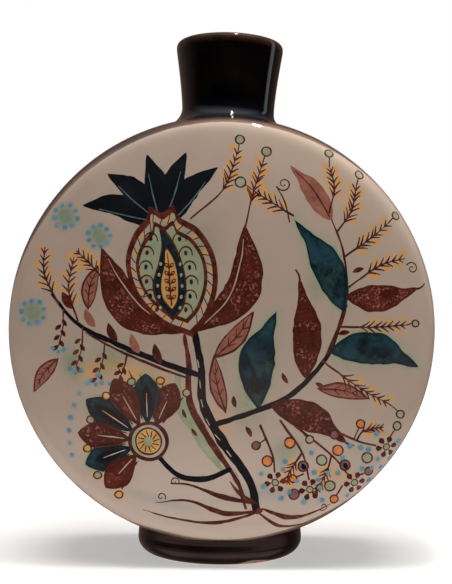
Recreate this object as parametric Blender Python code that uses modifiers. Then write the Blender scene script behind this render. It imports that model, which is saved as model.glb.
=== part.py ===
"""Round flask vase: two moulded dishes luted rim to rim, a flared collar and an oval foot.

Metres, +Z up. The vase stands on z = 0, centred on the Z axis, and its broad
front face looks along -Y.
"""
import math

import bmesh
import bpy
from mathutils import Matrix, Vector

# ---------------------------------------------------------------- dimensions
CENTRE_Z = 0.0971        # height of the disc's centre above the table
BODY_R = 0.0905          # disc radius at the seam, its widest circle
SIDE_ARC_R = 0.1034      # how strongly the side band bulges, front to back
SIDE_HALF = 0.0262       # half width of the side band
EDGE_R = 0.0057          # rounding between side band and face
DOME_DEG = 4.4           # slope of the face where it meets its rounded edge
WALL = 0.0050            # thickness of the moulded dishes
INNER_EDGE = 0.0075      # run of the soft inside corner of a dish

GAP = 0.0003             # clearance between neighbouring pieces

NECK_LEAN_DEG = 1.03     # the collar was set on slightly to the right
NECK_BASE_R = 0.02005
NECK_TOP_R = 0.02310
NECK_LOW = 0.0952        # above the disc's centre: where the flare starts
NECK_HIGH = 0.1199       # and where it has reached its full width
NECK_WALL = 0.0042
NECK_BORE_R = 0.0156     # hole through the crown of the body
LIP_TOP = 0.12320        # lip height above the disc's centre
LIP_CORNER = 0.0020

FOOT_RX = 0.03545        # half width of the foot's bulge, side to side
FOOT_RY = 0.02825        # half depth of the foot's bulge, front to back
FOOT_BULGE_Z = 0.0066    # height of the widest line of the bulge
FOOT_ROUND = 0.0073      # how far the bulge turns in towards the standing flat
FOOT_FLAT = 0.0042       # width of the standing flat
FOOT_WAIST = 0.0008      # how far the wall pulls in again under the body

COIL_R = 0.0024          # clay coil pressed into the seam, inside

TURN_STEPS = 72
NECK_STEPS = 60

COLOURS = {
    "cream_glaze": ((0.62, 0.53, 0.44, 1.0), 0.12),
    "brown_glaze": ((0.030, 0.013, 0.009, 1.0), 0.08),
    "bare_clay": ((0.42, 0.24, 0.14, 1.0), 0.75),
}

# ------------------------------------------------------------------- helpers
for old in list(bpy.data.objects):
    bpy.data.objects.remove(old, do_unlink=True)

vase = bpy.data.collections.new("round_vase")
bpy.context.scene.collection.children.link(vase)
cutters = bpy.data.collections.new("cutters")
bpy.context.scene.collection.children.link(cutters)


def material(name, tint):
    colour, rough = COLOURS[tint]
    mat = bpy.data.materials.new(name)
    mat.use_nodes = True
    bsdf = mat.node_tree.nodes["Principled BSDF"]
    bsdf.inputs["Base Color"].default_value = colour
    bsdf.inputs["Roughness"].default_value = rough
    bsdf.inputs["Metallic"].default_value = 0.0
    mat.diffuse_color = colour
    return mat


def arc(cx, cy, radius, a0, a1, steps):
    """Points on a circle, angles in radians measured from the x direction."""
    return [
        (cx + radius * math.cos(a0 + (a1 - a0) * i / steps),
         cy + radius * math.sin(a0 + (a1 - a0) * i / steps))
        for i in range(steps + 1)
    ]


def edge_centre():
    """Centre (r, t) of the small rounding between side band and face."""
    a = math.asin(SIDE_HALF / SIDE_ARC_R)
    r = BODY_R - SIDE_ARC_R + SIDE_ARC_R * math.cos(a)
    return a, r - EDGE_R * math.cos(a), SIDE_HALF - EDGE_R * math.sin(a)


def dome_centre():
    """Centre (on the axis) and radius of the shallow sphere of the face."""
    _, r, t = edge_centre()
    slope = math.radians(DOME_DEG)
    edge_r = r + EDGE_R * math.sin(slope)
    radius = edge_r / math.sin(slope)
    edge_t = t + EDGE_R * math.cos(slope)
    return edge_t - radius * math.cos(slope), radius, slope


def outer_profile(grow=0.0, dome_steps=5, edge_steps=5, wall_steps=4):
    """(r, t) of half the body's outside, from the face's centre to the seam."""
    a, er, et = edge_centre()
    dt, dr, slope = dome_centre()
    points = [
        ((dr + grow) * math.sin(slope * i / dome_steps),
         dt + (dr + grow) * math.cos(slope * i / dome_steps))
        for i in range(dome_steps)
    ]
    points += arc(er, et, EDGE_R + grow, math.pi / 2 - slope, a, edge_steps)
    points += arc(BODY_R - SIDE_ARC_R, 0.0, SIDE_ARC_R + grow, a, 0.0,
                  wall_steps)[1:]
    return points


def inner_profile(dome_steps=3, corner_steps=4, wall_steps=3):
    """(r, t) of half the body's inside, from the seam to the face's centre."""
    dt, dr, slope = dome_centre()
    wall_c, wall_r = BODY_R - SIDE_ARC_R, SIDE_ARC_R - WALL
    face_r = dr - WALL
    # corner of the two inside surfaces, then a soft curve that cuts it off
    low, high = 0.0, math.radians(30)
    for _ in range(60):
        mid = (low + high) / 2
        r = wall_c + wall_r * math.cos(mid)
        t = wall_r * math.sin(mid)
        if t < dt + math.sqrt(face_r ** 2 - r ** 2):
            low = mid
        else:
            high = mid
    corner = (wall_c + wall_r * math.cos(low), wall_r * math.sin(low))
    a1 = low - INNER_EDGE / wall_r
    b1 = math.asin(corner[0] / face_r) - INNER_EDGE / face_r
    start = (wall_c + wall_r * math.cos(a1), wall_r * math.sin(a1))
    stop = (face_r * math.sin(b1), dt + face_r * math.cos(b1))
    points = arc(wall_c, 0.0, wall_r, 0.0, a1, wall_steps)[:-1]
    for i in range(corner_steps + 1):
        u = i / corner_steps
        points.append(tuple(
            (1 - u) ** 2 * start[k] + 2 * u * (1 - u) * corner[k]
            + u * u * stop[k] for k in (0, 1)))
    points += [
        (face_r * math.sin(b1 * (dome_steps - i) / dome_steps),
         dt + face_r * math.cos(b1 * (dome_steps - i) / dome_steps))
        for i in range(1, dome_steps + 1)
    ]
    return points


def turned(name, profile, steps, closed, collection):
    """Turn an (r, z) profile about the object's own Z axis."""
    mesh = bpy.data.meshes.new(name)
    bm = bmesh.new()
    verts = [bm.verts.new((r, 0.0, z)) for r, z in profile]
    for a, b in zip(verts, verts[1:]):
        bm.edges.new((a, b))
    if closed:
        bm.edges.new((verts[-1], verts[0]))
    bm.to_mesh(mesh)
    bm.free()
    obj = bpy.data.objects.new(name, mesh)
    collection.objects.link(obj)
    screw = obj.modifiers.new("turn", "SCREW")
    screw.axis = "Z"
    screw.angle = math.tau
    screw.steps = steps
    screw.render_steps = steps
    screw.use_merge_vertices = True
    screw.merge_threshold = 0.00001
    screw.use_smooth_shade = True
    return obj


def baked(obj):
    """Replace an object's base mesh by its evaluated one."""
    depsgraph = bpy.context.evaluated_depsgraph_get()
    mesh = bpy.data.meshes.new_from_object(obj.evaluated_get(depsgraph))
    obj.modifiers.clear()
    obj.data = mesh
    return obj


def cut(obj, cutter, name):
    boolean = obj.modifiers.new(name, "BOOLEAN")
    boolean.operation = "DIFFERENCE"
    boolean.solver = "EXACT"
    boolean.object = cutter


def as_cutter(obj):
    obj.hide_render = True
    obj.display_type = "WIRE"
    return obj


def smooth(obj, degrees=35):
    mesh = obj.data
    mesh.shade_smooth()
    mesh.set_sharp_from_angle(angle=math.radians(degrees))


# The disc's axis is +Z in its own frame, and looks along -Y in the world.
FACE_FRONT = Matrix.Translation((0, 0, CENTRE_Z)) @ Matrix.Rotation(
    math.pi / 2, 4, "X")
FACE_BACK = Matrix.Translation((0, 0, CENTRE_Z)) @ Matrix.Rotation(
    -math.pi / 2, 4, "X")
# The collar's axis passes through the disc's centre and leans to the right.
NECK_AXIS = Matrix.Translation((0, 0, CENTRE_Z)) @ Matrix.Rotation(
    math.radians(NECK_LEAN_DEG), 4, "Y")

# ------------------------------------------------------------------- cutters
crown_hole = bpy.data.objects.new("crown_hole", bpy.data.meshes.new("crown_hole"))
bm = bmesh.new()
bmesh.ops.create_cone(bm, cap_ends=True, segments=NECK_STEPS,
                      radius1=NECK_BORE_R, radius2=NECK_BORE_R, depth=0.06)
bm.to_mesh(crown_hole.data)
bm.free()
cutters.objects.link(crown_hole)
crown_hole.matrix_world = NECK_AXIS @ Matrix.Translation((0, 0, BODY_R))
as_cutter(crown_hole)


def body_cutter(name, grow):
    """The body's outside as one solid, a gap larger all round."""
    half = outer_profile(grow)
    whole = half + [(r, -t) for r, t in reversed(half[:-1])]
    obj = turned(name, whole, TURN_STEPS, False, cutters)
    obj.matrix_world = FACE_FRONT
    return as_cutter(obj)


body_space = body_cutter("body_space", GAP)


# -------------------------------------------------------------- the two dishes
def dish(name, placing):
    outer = [(r, t) for r, t in outer_profile() if t > 0.001]
    inner = [(r, t) for r, t in inner_profile() if t > 0.001]
    rim_out = (BODY_R, GAP / 2)
    rim_in = (BODY_R - WALL, GAP / 2)
    obj = turned(name, outer + [rim_out, rim_in] + inner, TURN_STEPS, False,
                 vase)
    obj.matrix_world = placing
    cut(obj, crown_hole, "crown_opening")
    obj.data.materials.append(material(name + "_glaze", "cream_glaze"))
    return obj


front_dish = dish("front_dish", FACE_FRONT)
back_dish = dish("back_dish", FACE_BACK)

# ------------------------------------------------------- coil inside the seam
coil_path_r = BODY_R - WALL - GAP - COIL_R - 0.0002
half_gap = math.asin((NECK_BORE_R + 0.004) / coil_path_r)
lean = math.radians(NECK_LEAN_DEG)
coil_points = 54
curve = bpy.data.curves.new("seam_coil_path", "CURVE")
curve.dimensions = "3D"
curve.bevel_depth = COIL_R
curve.bevel_resolution = 2
curve.use_fill_caps = True
spline = curve.splines.new("POLY")
spline.points.add(coil_points - 1)
for i in range(coil_points):
    a = math.pi / 2 - lean + half_gap + (
        math.tau - 2 * half_gap) * i / (coil_points - 1)
    spline.points[i].co = (coil_path_r * math.cos(a), 0.0,
                           coil_path_r * math.sin(a), 1.0)
seam_coil = bpy.data.objects.new("seam_coil", curve)
seam_coil.location = (0, 0, CENTRE_Z)
vase.objects.link(seam_coil)
curve.materials.append(material("seam_coil_clay", "bare_clay"))


# ------------------------------------------------------------------ the collar
def neck_outer_r(h):
    """Outer radius of the collar at height h above the disc's centre."""
    u = min(1.0, max(0.0, (h - NECK_LOW) / (NECK_HIGH - NECK_LOW)))
    return NECK_BASE_R + (NECK_TOP_R - NECK_BASE_R) * u ** 1.3


neck_foot = BODY_R - 0.0080
lip_low = LIP_TOP - LIP_CORNER
neck_side = [NECK_LOW + (lip_low - NECK_LOW) * i / 7 for i in range(7)]
outside = [(neck_outer_r(h), h) for h in [neck_foot] + neck_side]
top_r = neck_outer_r(lip_low)
outside += arc(top_r - LIP_CORNER, lip_low, LIP_CORNER, 0.0, math.pi / 2, 4)
inner_top = top_r - NECK_WALL
outside += arc(inner_top + LIP_CORNER, lip_low, LIP_CORNER, math.pi / 2,
               math.pi, 3)
inside = [(neck_outer_r(h) - NECK_WALL, h)
          for h in (neck_side[5], neck_side[3], neck_side[1], neck_side[0])]
inside.append((NECK_BORE_R, neck_foot))
neck_collar = turned("neck_collar", list(reversed(outside + inside)),
                     NECK_STEPS, True, vase)
neck_collar.matrix_world = NECK_AXIS
cut(neck_collar, body_space, "seat_on_body")
neck_collar.data.materials.append(material("neck_collar_glaze", "brown_glaze"))

# ------------------------------------------- clay fillet round the collar base
FILLET = 0.0059          # its mean radius, fuller on the left than the right
FILLET_SKEW = 0.0011
FILLET_THIN = 0.0013     # how much smaller it is at the front and the back
FILLET_EDGE = 0.0006     # thickness of its outer edge above the body


def crown_height(x, y):
    """Height of the body's outside above the disc's centre at (x, y)."""
    _, er, et = edge_centre()
    t = abs(y)
    if t <= SIDE_HALF:
        r = BODY_R - SIDE_ARC_R + math.sqrt(SIDE_ARC_R ** 2 - t * t)
    else:
        r = er + math.sqrt(EDGE_R ** 2 - (t - et) ** 2)
    return math.sqrt(r * r - x * x)


fr = NECK_BASE_R + GAP
fillet_curve = arc(fr + 0.0004 + FILLET, FILLET_EDGE + FILLET, FILLET,
                   math.pi, 1.5 * math.pi, 8)
fillet_profile = [(fr, FILLET_EDGE + FILLET)] + fillet_curve + [
    (fr + 0.0004 + FILLET, -0.0020), (fr, -0.0020)]
neck_fillet = turned("neck_joint_fillet", list(reversed(fillet_profile)),
                     NECK_STEPS, True, vase)
baked(neck_fillet)
for vert in neck_fillet.data.vertices:
    turn = math.atan2(vert.co.y, vert.co.x)
    size = (FILLET - FILLET_SKEW * math.cos(turn)
            - FILLET_THIN * math.sin(turn) ** 2) / FILLET
    r = fr + (math.hypot(vert.co.x, vert.co.y) - fr) * size
    vert.co.x, vert.co.y = r * math.cos(turn), r * math.sin(turn)
    vert.co.z = crown_height(vert.co.x, vert.co.y) + vert.co.z * (
        size if vert.co.z > FILLET_EDGE else 1.0)
neck_fillet.data.update()
neck_fillet.matrix_world = NECK_AXIS
cut(neck_fillet, body_space, "seat_on_body")
neck_fillet.data.materials.append(material("neck_fillet_glaze", "brown_glaze"))

# -------------------------------------------------------------------- the foot
def make_oval(obj):
    """Narrow a turned ring front to back by the same amount all through."""
    baked(obj)
    for vert in obj.data.vertices:
        r = math.hypot(vert.co.x, vert.co.y)
        vert.co.y *= (r - (FOOT_RX - FOOT_RY)) / r
    obj.data.update()
    return obj


stand_out = FOOT_RX - FOOT_ROUND
stand_in = stand_out - FOOT_FLAT
foot_top = 0.0230
foot_outside = [
    (FOOT_RX - FOOT_ROUND * (1 - math.cos(a)),
     FOOT_BULGE_Z * (1 - math.sin(a)))
    for a in [math.radians(d) for d in (90, 78, 62, 46, 30, 15, 0)]
]
foot_outside += [(FOOT_RX - FOOT_WAIST * 0.52, FOOT_BULGE_Z + 0.0028),
                 (FOOT_RX - FOOT_WAIST, FOOT_BULGE_Z + 0.0056),
                 (FOOT_RX - FOOT_WAIST, foot_top)]
foot_inside = [(stand_in - 0.0012, foot_top), (stand_in - 0.0012, 0.0030),
               (stand_in - 0.0007, 0.0009), (stand_in, 0.0)]
foot_ring = turned("foot_ring", list(reversed(foot_outside + foot_inside)),
                   TURN_STEPS, True, vase)
make_oval(foot_ring)
cut(foot_ring, body_space, "seat_under_body")
foot_ring.data.materials.append(material("foot_ring_glaze", "brown_glaze"))

# --------------------------------- clay fillet inside the foot, under the belly
in_r = stand_in - 0.0012 - GAP
fillet_low = 0.0042
inner_fillet_profile = [(in_r, 0.0200), (in_r - 0.0060, 0.0200)]
inner_fillet_profile += [
    (in_r - 0.0060 * (1 - math.sin(a)), fillet_low + 0.0042 * math.cos(a))
    for a in [math.radians(d) for d in (0, 25, 50, 72)]
] + [(in_r, fillet_low + 0.0003)]
foot_fillet = turned("foot_joint_fillet", list(reversed(inner_fillet_profile)),
                     TURN_STEPS, True, vase)
make_oval(foot_fillet)
cut(foot_fillet, body_space, "seat_under_body")
foot_fillet.data.materials.append(material("foot_fillet_glaze", "brown_glaze"))

for piece in vase.objects:
    if piece.type == "MESH" and piece.data.polygons:
        smooth(piece)
bpy.context.view_layer.update()
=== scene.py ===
import math

import bpy
import numpy as np
from mathutils import Matrix, Vector
from mathutils.geometry import delaunay_2d_cdt
from mathutils.kdtree import KDTree


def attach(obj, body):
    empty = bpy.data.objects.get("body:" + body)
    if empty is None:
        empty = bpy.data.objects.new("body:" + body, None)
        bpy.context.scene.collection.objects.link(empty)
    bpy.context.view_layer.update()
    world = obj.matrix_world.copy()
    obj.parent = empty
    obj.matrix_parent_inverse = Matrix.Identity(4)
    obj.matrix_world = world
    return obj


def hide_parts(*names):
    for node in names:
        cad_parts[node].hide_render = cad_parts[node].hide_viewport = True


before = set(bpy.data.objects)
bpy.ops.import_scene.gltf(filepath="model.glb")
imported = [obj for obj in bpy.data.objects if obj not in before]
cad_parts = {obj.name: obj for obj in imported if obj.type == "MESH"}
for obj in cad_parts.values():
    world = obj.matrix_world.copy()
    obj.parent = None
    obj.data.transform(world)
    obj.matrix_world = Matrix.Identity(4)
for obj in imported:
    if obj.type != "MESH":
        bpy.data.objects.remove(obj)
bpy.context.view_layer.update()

# ---------------------------------------------------------------- dimensions
# Metres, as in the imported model. The disc's axis runs along Y.
CENTRE_Z = 0.0971
BODY_R = 0.0905
SIDE_ARC_R = 0.1034
SIDE_HALF = 0.0262
EDGE_R = 0.0057
DOME_DEG = 4.4
WALL = 0.0050
INNER_EDGE = 0.0075
LEAN = math.radians(1.03)
NECK_BASE_R = 0.02005
NECK_TOP_R = 0.02310
NECK_LOW = 0.0952
NECK_HIGH = 0.1199
NECK_WALL = 0.0042
NECK_BORE_R = 0.0156
LIP_TOP = 0.12320
LIP_CORNER = 0.0020
NECK_FILLET = 0.0059
FILLET_SKEW = 0.0011
FILLET_THIN = 0.0013
FOOT_RX = 0.03545
FOOT_RY = 0.02825
FOOT_BULGE_Z = 0.0066
FOOT_ROUND = 0.0073
FOOT_FLAT = 0.0042
MM = 0.001


# ------------------------------------------------------------- brush drawing
# Millimetres on the face seen from outside: x to the right, y up, (0, 0) at
# the middle of the disc. Later shapes lie on earlier ones.
def spline(points, step=0.8):
    """Evenly spaced points on a smooth curve through the given ones."""
    p = np.array(points, float)
    ext = np.vstack([2 * p[0] - p[1], p, 2 * p[-1] - p[-2]])
    parts = []
    for i in range(1, len(ext) - 2):
        a, b, c, d = ext[i - 1:i + 3]
        n = max(2, int(math.hypot(*(c - b)) / 0.25))
        t = np.linspace(0, 1, n, endpoint=False)[:, None]
        parts.append(0.5 * (2 * b + (c - a) * t + (2 * a - 5 * b + 4 * c - d)
                            * t ** 2 + (3 * b - a - 3 * c + d) * t ** 3))
    q = np.vstack(parts + [p[-1:]])
    run = np.concatenate([[0], np.cumsum(np.hypot(*np.diff(q, axis=0).T))])
    n = max(3, int(round(run[-1] / step)) + 1)
    at = np.linspace(0, run[-1], n)
    return np.column_stack([np.interp(at, run, q[:, k]) for k in (0, 1)])


def along(curve):
    """Unit tangents and left-hand normals of a sampled curve."""
    t = np.gradient(curve, axis=0)
    t /= np.maximum(np.hypot(*t.T), 1e-9)[:, None]
    return t, np.column_stack([-t[:, 1], t[:, 0]])


def polar(x, y, length, degrees):
    a = math.radians(degrees)
    return (x + length * math.cos(a), y + length * math.sin(a))


class Painting:
    def __init__(self, seed):
        self.shapes = []
        self.softs = []
        self.rng = np.random.default_rng(seed)

    def add(self, pigment, points):
        self.shapes.append((pigment, np.asarray(points, float),
                            float(self.rng.random())))

    def shake(self, n, size, run=3):
        """Slow random wobble for a hand-drawn edge."""
        raw = self.rng.normal(0, 1, n + 2 * run)
        kernel = np.hanning(2 * run + 1)[:2 * run + 1]
        return size * np.convolve(raw, kernel / kernel.sum(), "valid")[:n] * 1.6

    def stroke(self, pigment, points, widths, step=0.8, rough=0.07):
        c = spline(points, step)
        t, n = along(c)
        f = np.linspace(0, 1, len(c))
        w = np.interp(f, np.linspace(0, 1, len(widths)), widths) / 2
        k = len(c)
        left = c + n * np.maximum(w + self.shake(k, rough), 0.1)[:, None]
        right = c - n * np.maximum(w + self.shake(k, rough), 0.1)[:, None]
        self.add(pigment, np.vstack([
            [c[0] - t[0] * w[0] * 0.9], right, [c[-1] + t[-1] * w[-1] * 0.9],
            left[::-1]]))
        return c

    def disc(self, pigment, x, y, rx, ry=None, turn=0.0, rough=0.06):
        ry = rx if ry is None else ry
        n = max(10, int(math.tau * max(rx, ry) / 0.65))
        a = np.linspace(0, math.tau, n, endpoint=False)
        wob = rough * (np.sin(2 * a + self.rng.random() * 6)
                       + 0.7 * np.sin(3 * a + self.rng.random() * 6)
                       + 0.4 * np.sin(5 * a + self.rng.random() * 6))
        c, s = math.cos(math.radians(turn)), math.sin(math.radians(turn))
        px, py = (rx + wob) * np.cos(a), (ry + wob) * np.sin(a)
        self.add(pigment, np.column_stack([x + c * px - s * py,
                                           y + s * px + c * py]))

    def ring(self, line, fill, x, y, r, width, rough=0.06):
        self.disc(line, x, y, r, rough=rough)
        self.disc(fill, x, y, r - width, rough=rough)

    def leaf(self, pigment, base, tip, width, bend=0.0, peak=0.42, sharp=1.0,
             lean=0.0, rough=0.10, waist=0.0, step=0.9):
        """A pointed leaf on a bent mid line. lean makes one side fuller."""
        b, e = np.array(base, float), np.array(tip, float)
        d = e - b
        nrm = np.array([-d[1], d[0]]) / max(math.hypot(*d), 1e-9)
        c = spline([b, (b + e) / 2 + nrm * bend, e], step)
        t, n = along(c)
        f = np.linspace(0, 1, len(c))
        g = f ** (math.log(0.5) / math.log(peak))
        w = np.sin(math.pi * g) ** sharp
        w *= 1 - waist * np.exp(-((f - 0.8) / 0.12) ** 2)
        k = len(c)
        wl = width / 2 * w * (1 + lean) + self.shake(k, rough) * np.sqrt(w)
        wr = width / 2 * w * (1 - lean) + self.shake(k, rough) * np.sqrt(w)
        wl, wr = np.maximum(wl, 0.03), np.maximum(wr, 0.03)
        self.add(pigment, np.vstack([
            [c[0]], (c - n * wr[:, None])[1:-1], [c[-1]],
            (c + n * wl[:, None])[1:-1][::-1]]))
        return c

    def soft(self, kind, x, y, rx, ry=None, turn=0.0, strength=1.0):
        self.softs.append((kind, x, y, rx, rx if ry is None else ry,
                           math.radians(turn), strength))

    def fern(self, points, barbs=9, length=4.2, start=0.30, spread=38,
             pigment="iron", stem=0.68, dots=6, blobs="yellow"):
        """A mid rib with slanting barbs, touched in with soft dots."""
        c = self.stroke(pigment, points, (stem * 1.25, stem, stem * 0.6), 0.9)
        t, _ = along(c)
        length *= 1.22
        barbs = int(barbs * 0.9)
        for i in range(barbs):
            f = start + (1.0 - start) * (i + 0.3) / barbs
            k = min(len(c) - 1, int(f * (len(c) - 1)))
            head = math.degrees(math.atan2(t[k][1], t[k][0]))
            size = length * (1.0 - 0.50 * i / barbs)
            for side in (-1, 1):
                ang = head + side * (spread + self.rng.normal(0, 3.5))
                far = polar(*c[k], size * (0.9 + 0.2 * self.rng.random()), ang)
                mid = polar(*c[k], size * 0.5, ang - side * 5)
                self.stroke(pigment, [tuple(c[k]), mid, far],
                            (0.72, 0.66, 0.36), 0.9, 0.05)
        for i in range(dots):
            f = start + (1.02 - start) * (i + 0.5) / max(dots, 1)
            k = min(len(c) - 1, int(f * (len(c) - 1)))
            side = 1 if i % 2 else -1
            head = math.degrees(math.atan2(t[k][1], t[k][0]))
            x, y = polar(*c[k], length * 0.66 * (1 - 0.3 * f),
                         head + side * 62)
            self.soft(blobs, x, y, 2.0 + 0.5 * self.rng.random(), 1.35,
                      head + side * 30, 0.95)

    def berry(self, x, y, r, fill="celadon", line="iron", shine=None):
        self.ring(line, fill, x, y, r, 0.62, 0.05)
        if shine:
            self.disc(shine, x + 0.1 * r, y - 0.1 * r, r * 0.42, r * 0.55, 20)

    def floret(self, x, y, r, petals=6, turn=0.0, petal="iron",
               core="ochre", line="iron"):
        """A small open blossom of separate dabs round a dot."""
        for i in range(petals):
            a = turn + 360 * i / petals
            self.leaf(petal, polar(x, y, r * 0.34, a), polar(x, y, r, a),
                      r * 0.52, 0, 0.62, 0.75, 0, 0.04, step=0.5)
        self.ring(line, core, x, y, r * 0.34, 0.45, 0.03)

    def dots(self, pigment, spots, r=1.0, halo=None):
        for x, y in spots:
            rr = r * (0.85 + 0.3 * self.rng.random())
            self.disc(pigment, x, y, rr, rr * (0.85 + 0.2 * self.rng.random()),
                      self.rng.random() * 90, 0.05)
            if halo:
                self.soft(halo, x, y, rr * 1.45, rr * 1.35, 0, 0.55)

    def curl(self, pigment, x, y, r, start, turns, width):
        """A spiral tendril that winds in towards its middle."""
        n = int(18 * abs(turns)) + 4
        pts = []
        for i in range(n + 1):
            f = i / n
            a = math.radians(start) + math.tau * turns * f
            rr = r * (1 - 0.82 * f)
            pts.append((x + rr * math.cos(a), y + rr * math.sin(a)))
        self.stroke(pigment, pts, (width, width, width * 0.7), 0.55, 0.04)


def paint_front():
    p = Painting(11)

    # -- soft washes under the drawing
    for w in [("green", -20, 30, 13, 17, 20, 0.9), ("yellow", -27, 8, 8, 6, 30, 0.55),
              ("green", -44, -12, 10, 6, 30, 0.7), ("grey", -8, 36, 7, 12, -15, 0.55),
              ("yellow", -42, -34, 7, 5, 0, 0.55), ("green", -33, -46, 9, 6, 10, 0.65),
              ("grey", -30, -28, 10, 5, 35, 0.55), ("blue", 16, -66, 18, 2.6, 8, 0.5),
              ("blue", -24, -69, 16, 2.0, -14, 0.45), ("grey", -2, -10, 5, 12, 12, 0.4),
              ("green", 10, -30, 6, 10, 20, 0.45), ("yellow", 0, -38, 5, 8, 0, 0.4),
              ("pink", 24, -63, 14, 4, 10, 0.35), ("green", -60, -14, 5, 7, 20, 0.75),
              ("yellow", -52, -17, 5, 4, 0, 0.7), ("grey", 9, -8, 5, 12, 10, 0.6),
              ("green", 13, -18, 4, 7, 0, 0.7), ("yellow", 8, 20, 4, 6, 0, 0.5),
              ("green", 27, -48, 7, 5, 30, 0.6), ("yellow", 47, -57, 6, 4, 0, 0.5),
              ("green", 38, 18, 4, 6, 10, 0.45), ("yellow", 62, 12, 4, 3, 0, 0.6),
              ("yellow", -32, -19.8, 13, 4.4, -24, 0.95)]:
        p.soft(*w)

    # -- broad pale brush marks beside the trunk
    p.stroke("celadon", [(1.5, -57), (-8.5, -43), (-17.0, -28), (-17.5, -17)],
             (1.6, 4.6, 5.4, 2.4), 1.0, 0.35)
    p.stroke("celadon", [(10.5, -30), (10.5, -18), (5.5, -4)],
             (1.6, 4.6, 1.6), 1.0, 0.30)
    for x, y, a in [(-10.5, -41, 128), (-14.6, -33.5, 112), (-17.0, -25.5, 98),
                    (10.6, -22.5, 84), (9.2, -13.5, 104)]:
        p.leaf("iron", polar(x, y, -2.1, a), polar(x, y, 2.1, a), 1.5, 0.2, 0.5,
               0.8, 0, 0.05, step=0.6)
    for k in range(5):
        x, y = -22.5 - 4.4 * k, -22.9 + 1.6 * k
        p.stroke("iron", [(x, y - 1.5), (x - 1.5, y + 1.6)], (0.7, 0.35), 0.7, 0.03)

    # -- the trunk: two brush lines, dark and brown, in one long S
    trunk = [(15, -73), (11.5, -60), (1, -45), (-7, -30), (-8, -14), (-11, 0)]
    p.stroke("iron", [(10.6, -72), (6.6, -60), (-4.4, -44), (-12.4, -29),
                      (-13.0, -14), (-15.0, -2)],
             (1.2, 2.2, 2.9, 2.9, 2.4, 1.2), 1.0, 0.14)
    p.stroke("cream", [(7.6, -60), (-2.6, -43.4), (-10.4, -28.8), (-10.9, -14),
                       (-12.6, -3)], (0.3, 0.7, 0.8, 0.6, 0.3), 0.9, 0.06)
    p.stroke("black", trunk, (3.4, 3.2, 4.0, 3.6, 3.0, 2.4), 1.0, 0.16)
    for x, y, a in [(3.4, -49.5, 128), (-1.2, -43.0, 132), (-5.2, -36.8, 118),
                    (-7.6, -29.4, 104), (-8.4, -21.6, 96), (-9.2, -13.4, 100)]:
        p.stroke("cream", [polar(x, y, -1.6, a), polar(x, y, 1.6, a)],
                 (0.3, 0.45, 0.25), 0.7, 0.03)

    # -- seed pod, upper left of the middle
    pod_c = [(-12, -1), (-19, 31), (-27, 56)]
    # crown of dark petals
    for tip, width, bend, lean in [((-57, 50), 9.5, -4.5, 0.15),
                                   ((-47, 63), 10.5, -3.6, 0.1),
                                   ((-31, 71), 10.5, -1.6, 0.0),
                                   ((-15, 72), 10.0, 2.2, -0.1),
                                   ((-2, 66), 9.0, 3.6, -0.15)]:
        base = (-25 + (tip[0] + 28) * 0.12, 43)
        p.leaf("black", base, tip, width, bend, 0.40, 0.85, lean, 0.22)
    for tip, base, bend in [((-50, 48.6), (-31, 44.4), -2.6),
                            ((-42.4, 58), (-28.6, 46.0), -2.0),
                            ((-30.2, 63), (-26.2, 47.0), -0.8),
                            ((-17.2, 64), (-22.4, 46.8), 1.2),
                            ((-7.2, 60), (-18.6, 45.6), 2.2)]:
        p.stroke("tealline", [base, ((base[0] + tip[0]) / 2 + bend * 0.3,
                                     (base[1] + tip[1]) / 2), tip],
                 (0.5, 0.6, 0.25), 0.8, 0.05)
    # mottled side petals that cup the pod
    p.leaf("russet", (-13, -1), (-49, 33), 15, 9.5, 0.50, 0.95, 0.0, 0.2)
    p.leaf("russet", (-11, -1), (9, 43), 14, -10.5, 0.50, 0.95, 0.0, 0.2)
    p.stroke("cream", [(-16.5, 0.5), (-31, 8), (-41.5, 20.5), (-46, 28.5)],
             (0.25, 0.5, 0.5, 0.2), 0.9, 0.05)
    p.stroke("cream", [(-8.2, 1.4), (2.6, 13), (7.4, 28), (8.4, 37)],
             (0.25, 0.5, 0.5, 0.2), 0.9, 0.05)
    # the pod itself
    pod = np.array([(-12, -2), (-24, 3), (-34.5, 14), (-38.4, 27), (-35.5, 38),
                    (-30.5, 44.5), (-29.5, 49), (-24.5, 46.6), (-20.0, 49.6),
                    (-17.6, 45.0), (-9.8, 40.2), (-3.6, 30), (-2.4, 17.5),
                    (-6.2, 5)], float)
    loop = spline(np.vstack([pod, pod[:1]]), 0.9)[:-1]
    mid = np.array([-20.5, 22.0])
    p.add("iron", mid + (loop - mid) * 1.03)
    p.add("cream", mid + (loop - mid) * 0.915)
    p.add("iron", mid + (loop - mid) * 0.80)
    p.add("celadon", mid + (loop - mid) * 0.725)
    # little lines across the pod's rim
    inner = mid + (loop - mid) * 0.81
    outer = mid + (loop - mid) * 0.92
    for k in range(3, len(loop) - 2, 5):
        j = (k + 2) % len(loop)
        p.stroke("iron", [tuple(inner[k]), tuple(outer[j])], (0.45, 0.4), 0.7,
                 0.03)
        if k % 10 == 3:
            q = (inner[k] + outer[k]) / 2
            p.soft("yellow", q[0], q[1], 1.5, 1.3, 0, 0.8)
    # rows of overlapping scales down both sides of the pod
    for row, (cy, out) in enumerate([(37.0, 6.4), (31.4, 8.4), (25.6, 9.4),
                                     (19.8, 9.6), (14.0, 8.6), (8.6, 6.4)]):
        cx = -21.6 + (cy - 22) * -0.10
        for side in (-1, 1):
            ax = cx + side * (out - 0.6)
            arc = [(ax + 2.7 * math.cos(a), cy - 1.2 + 3.4 * math.sin(a))
                   for a in np.linspace(math.pi, 0, 7)]
            p.stroke("iron", arc, (0.45, 0.75, 0.45), 0.6, 0.04)
            p.disc("iron" if row % 2 else "teal", ax, cy - 0.3, 0.75, 1.05)
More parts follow.
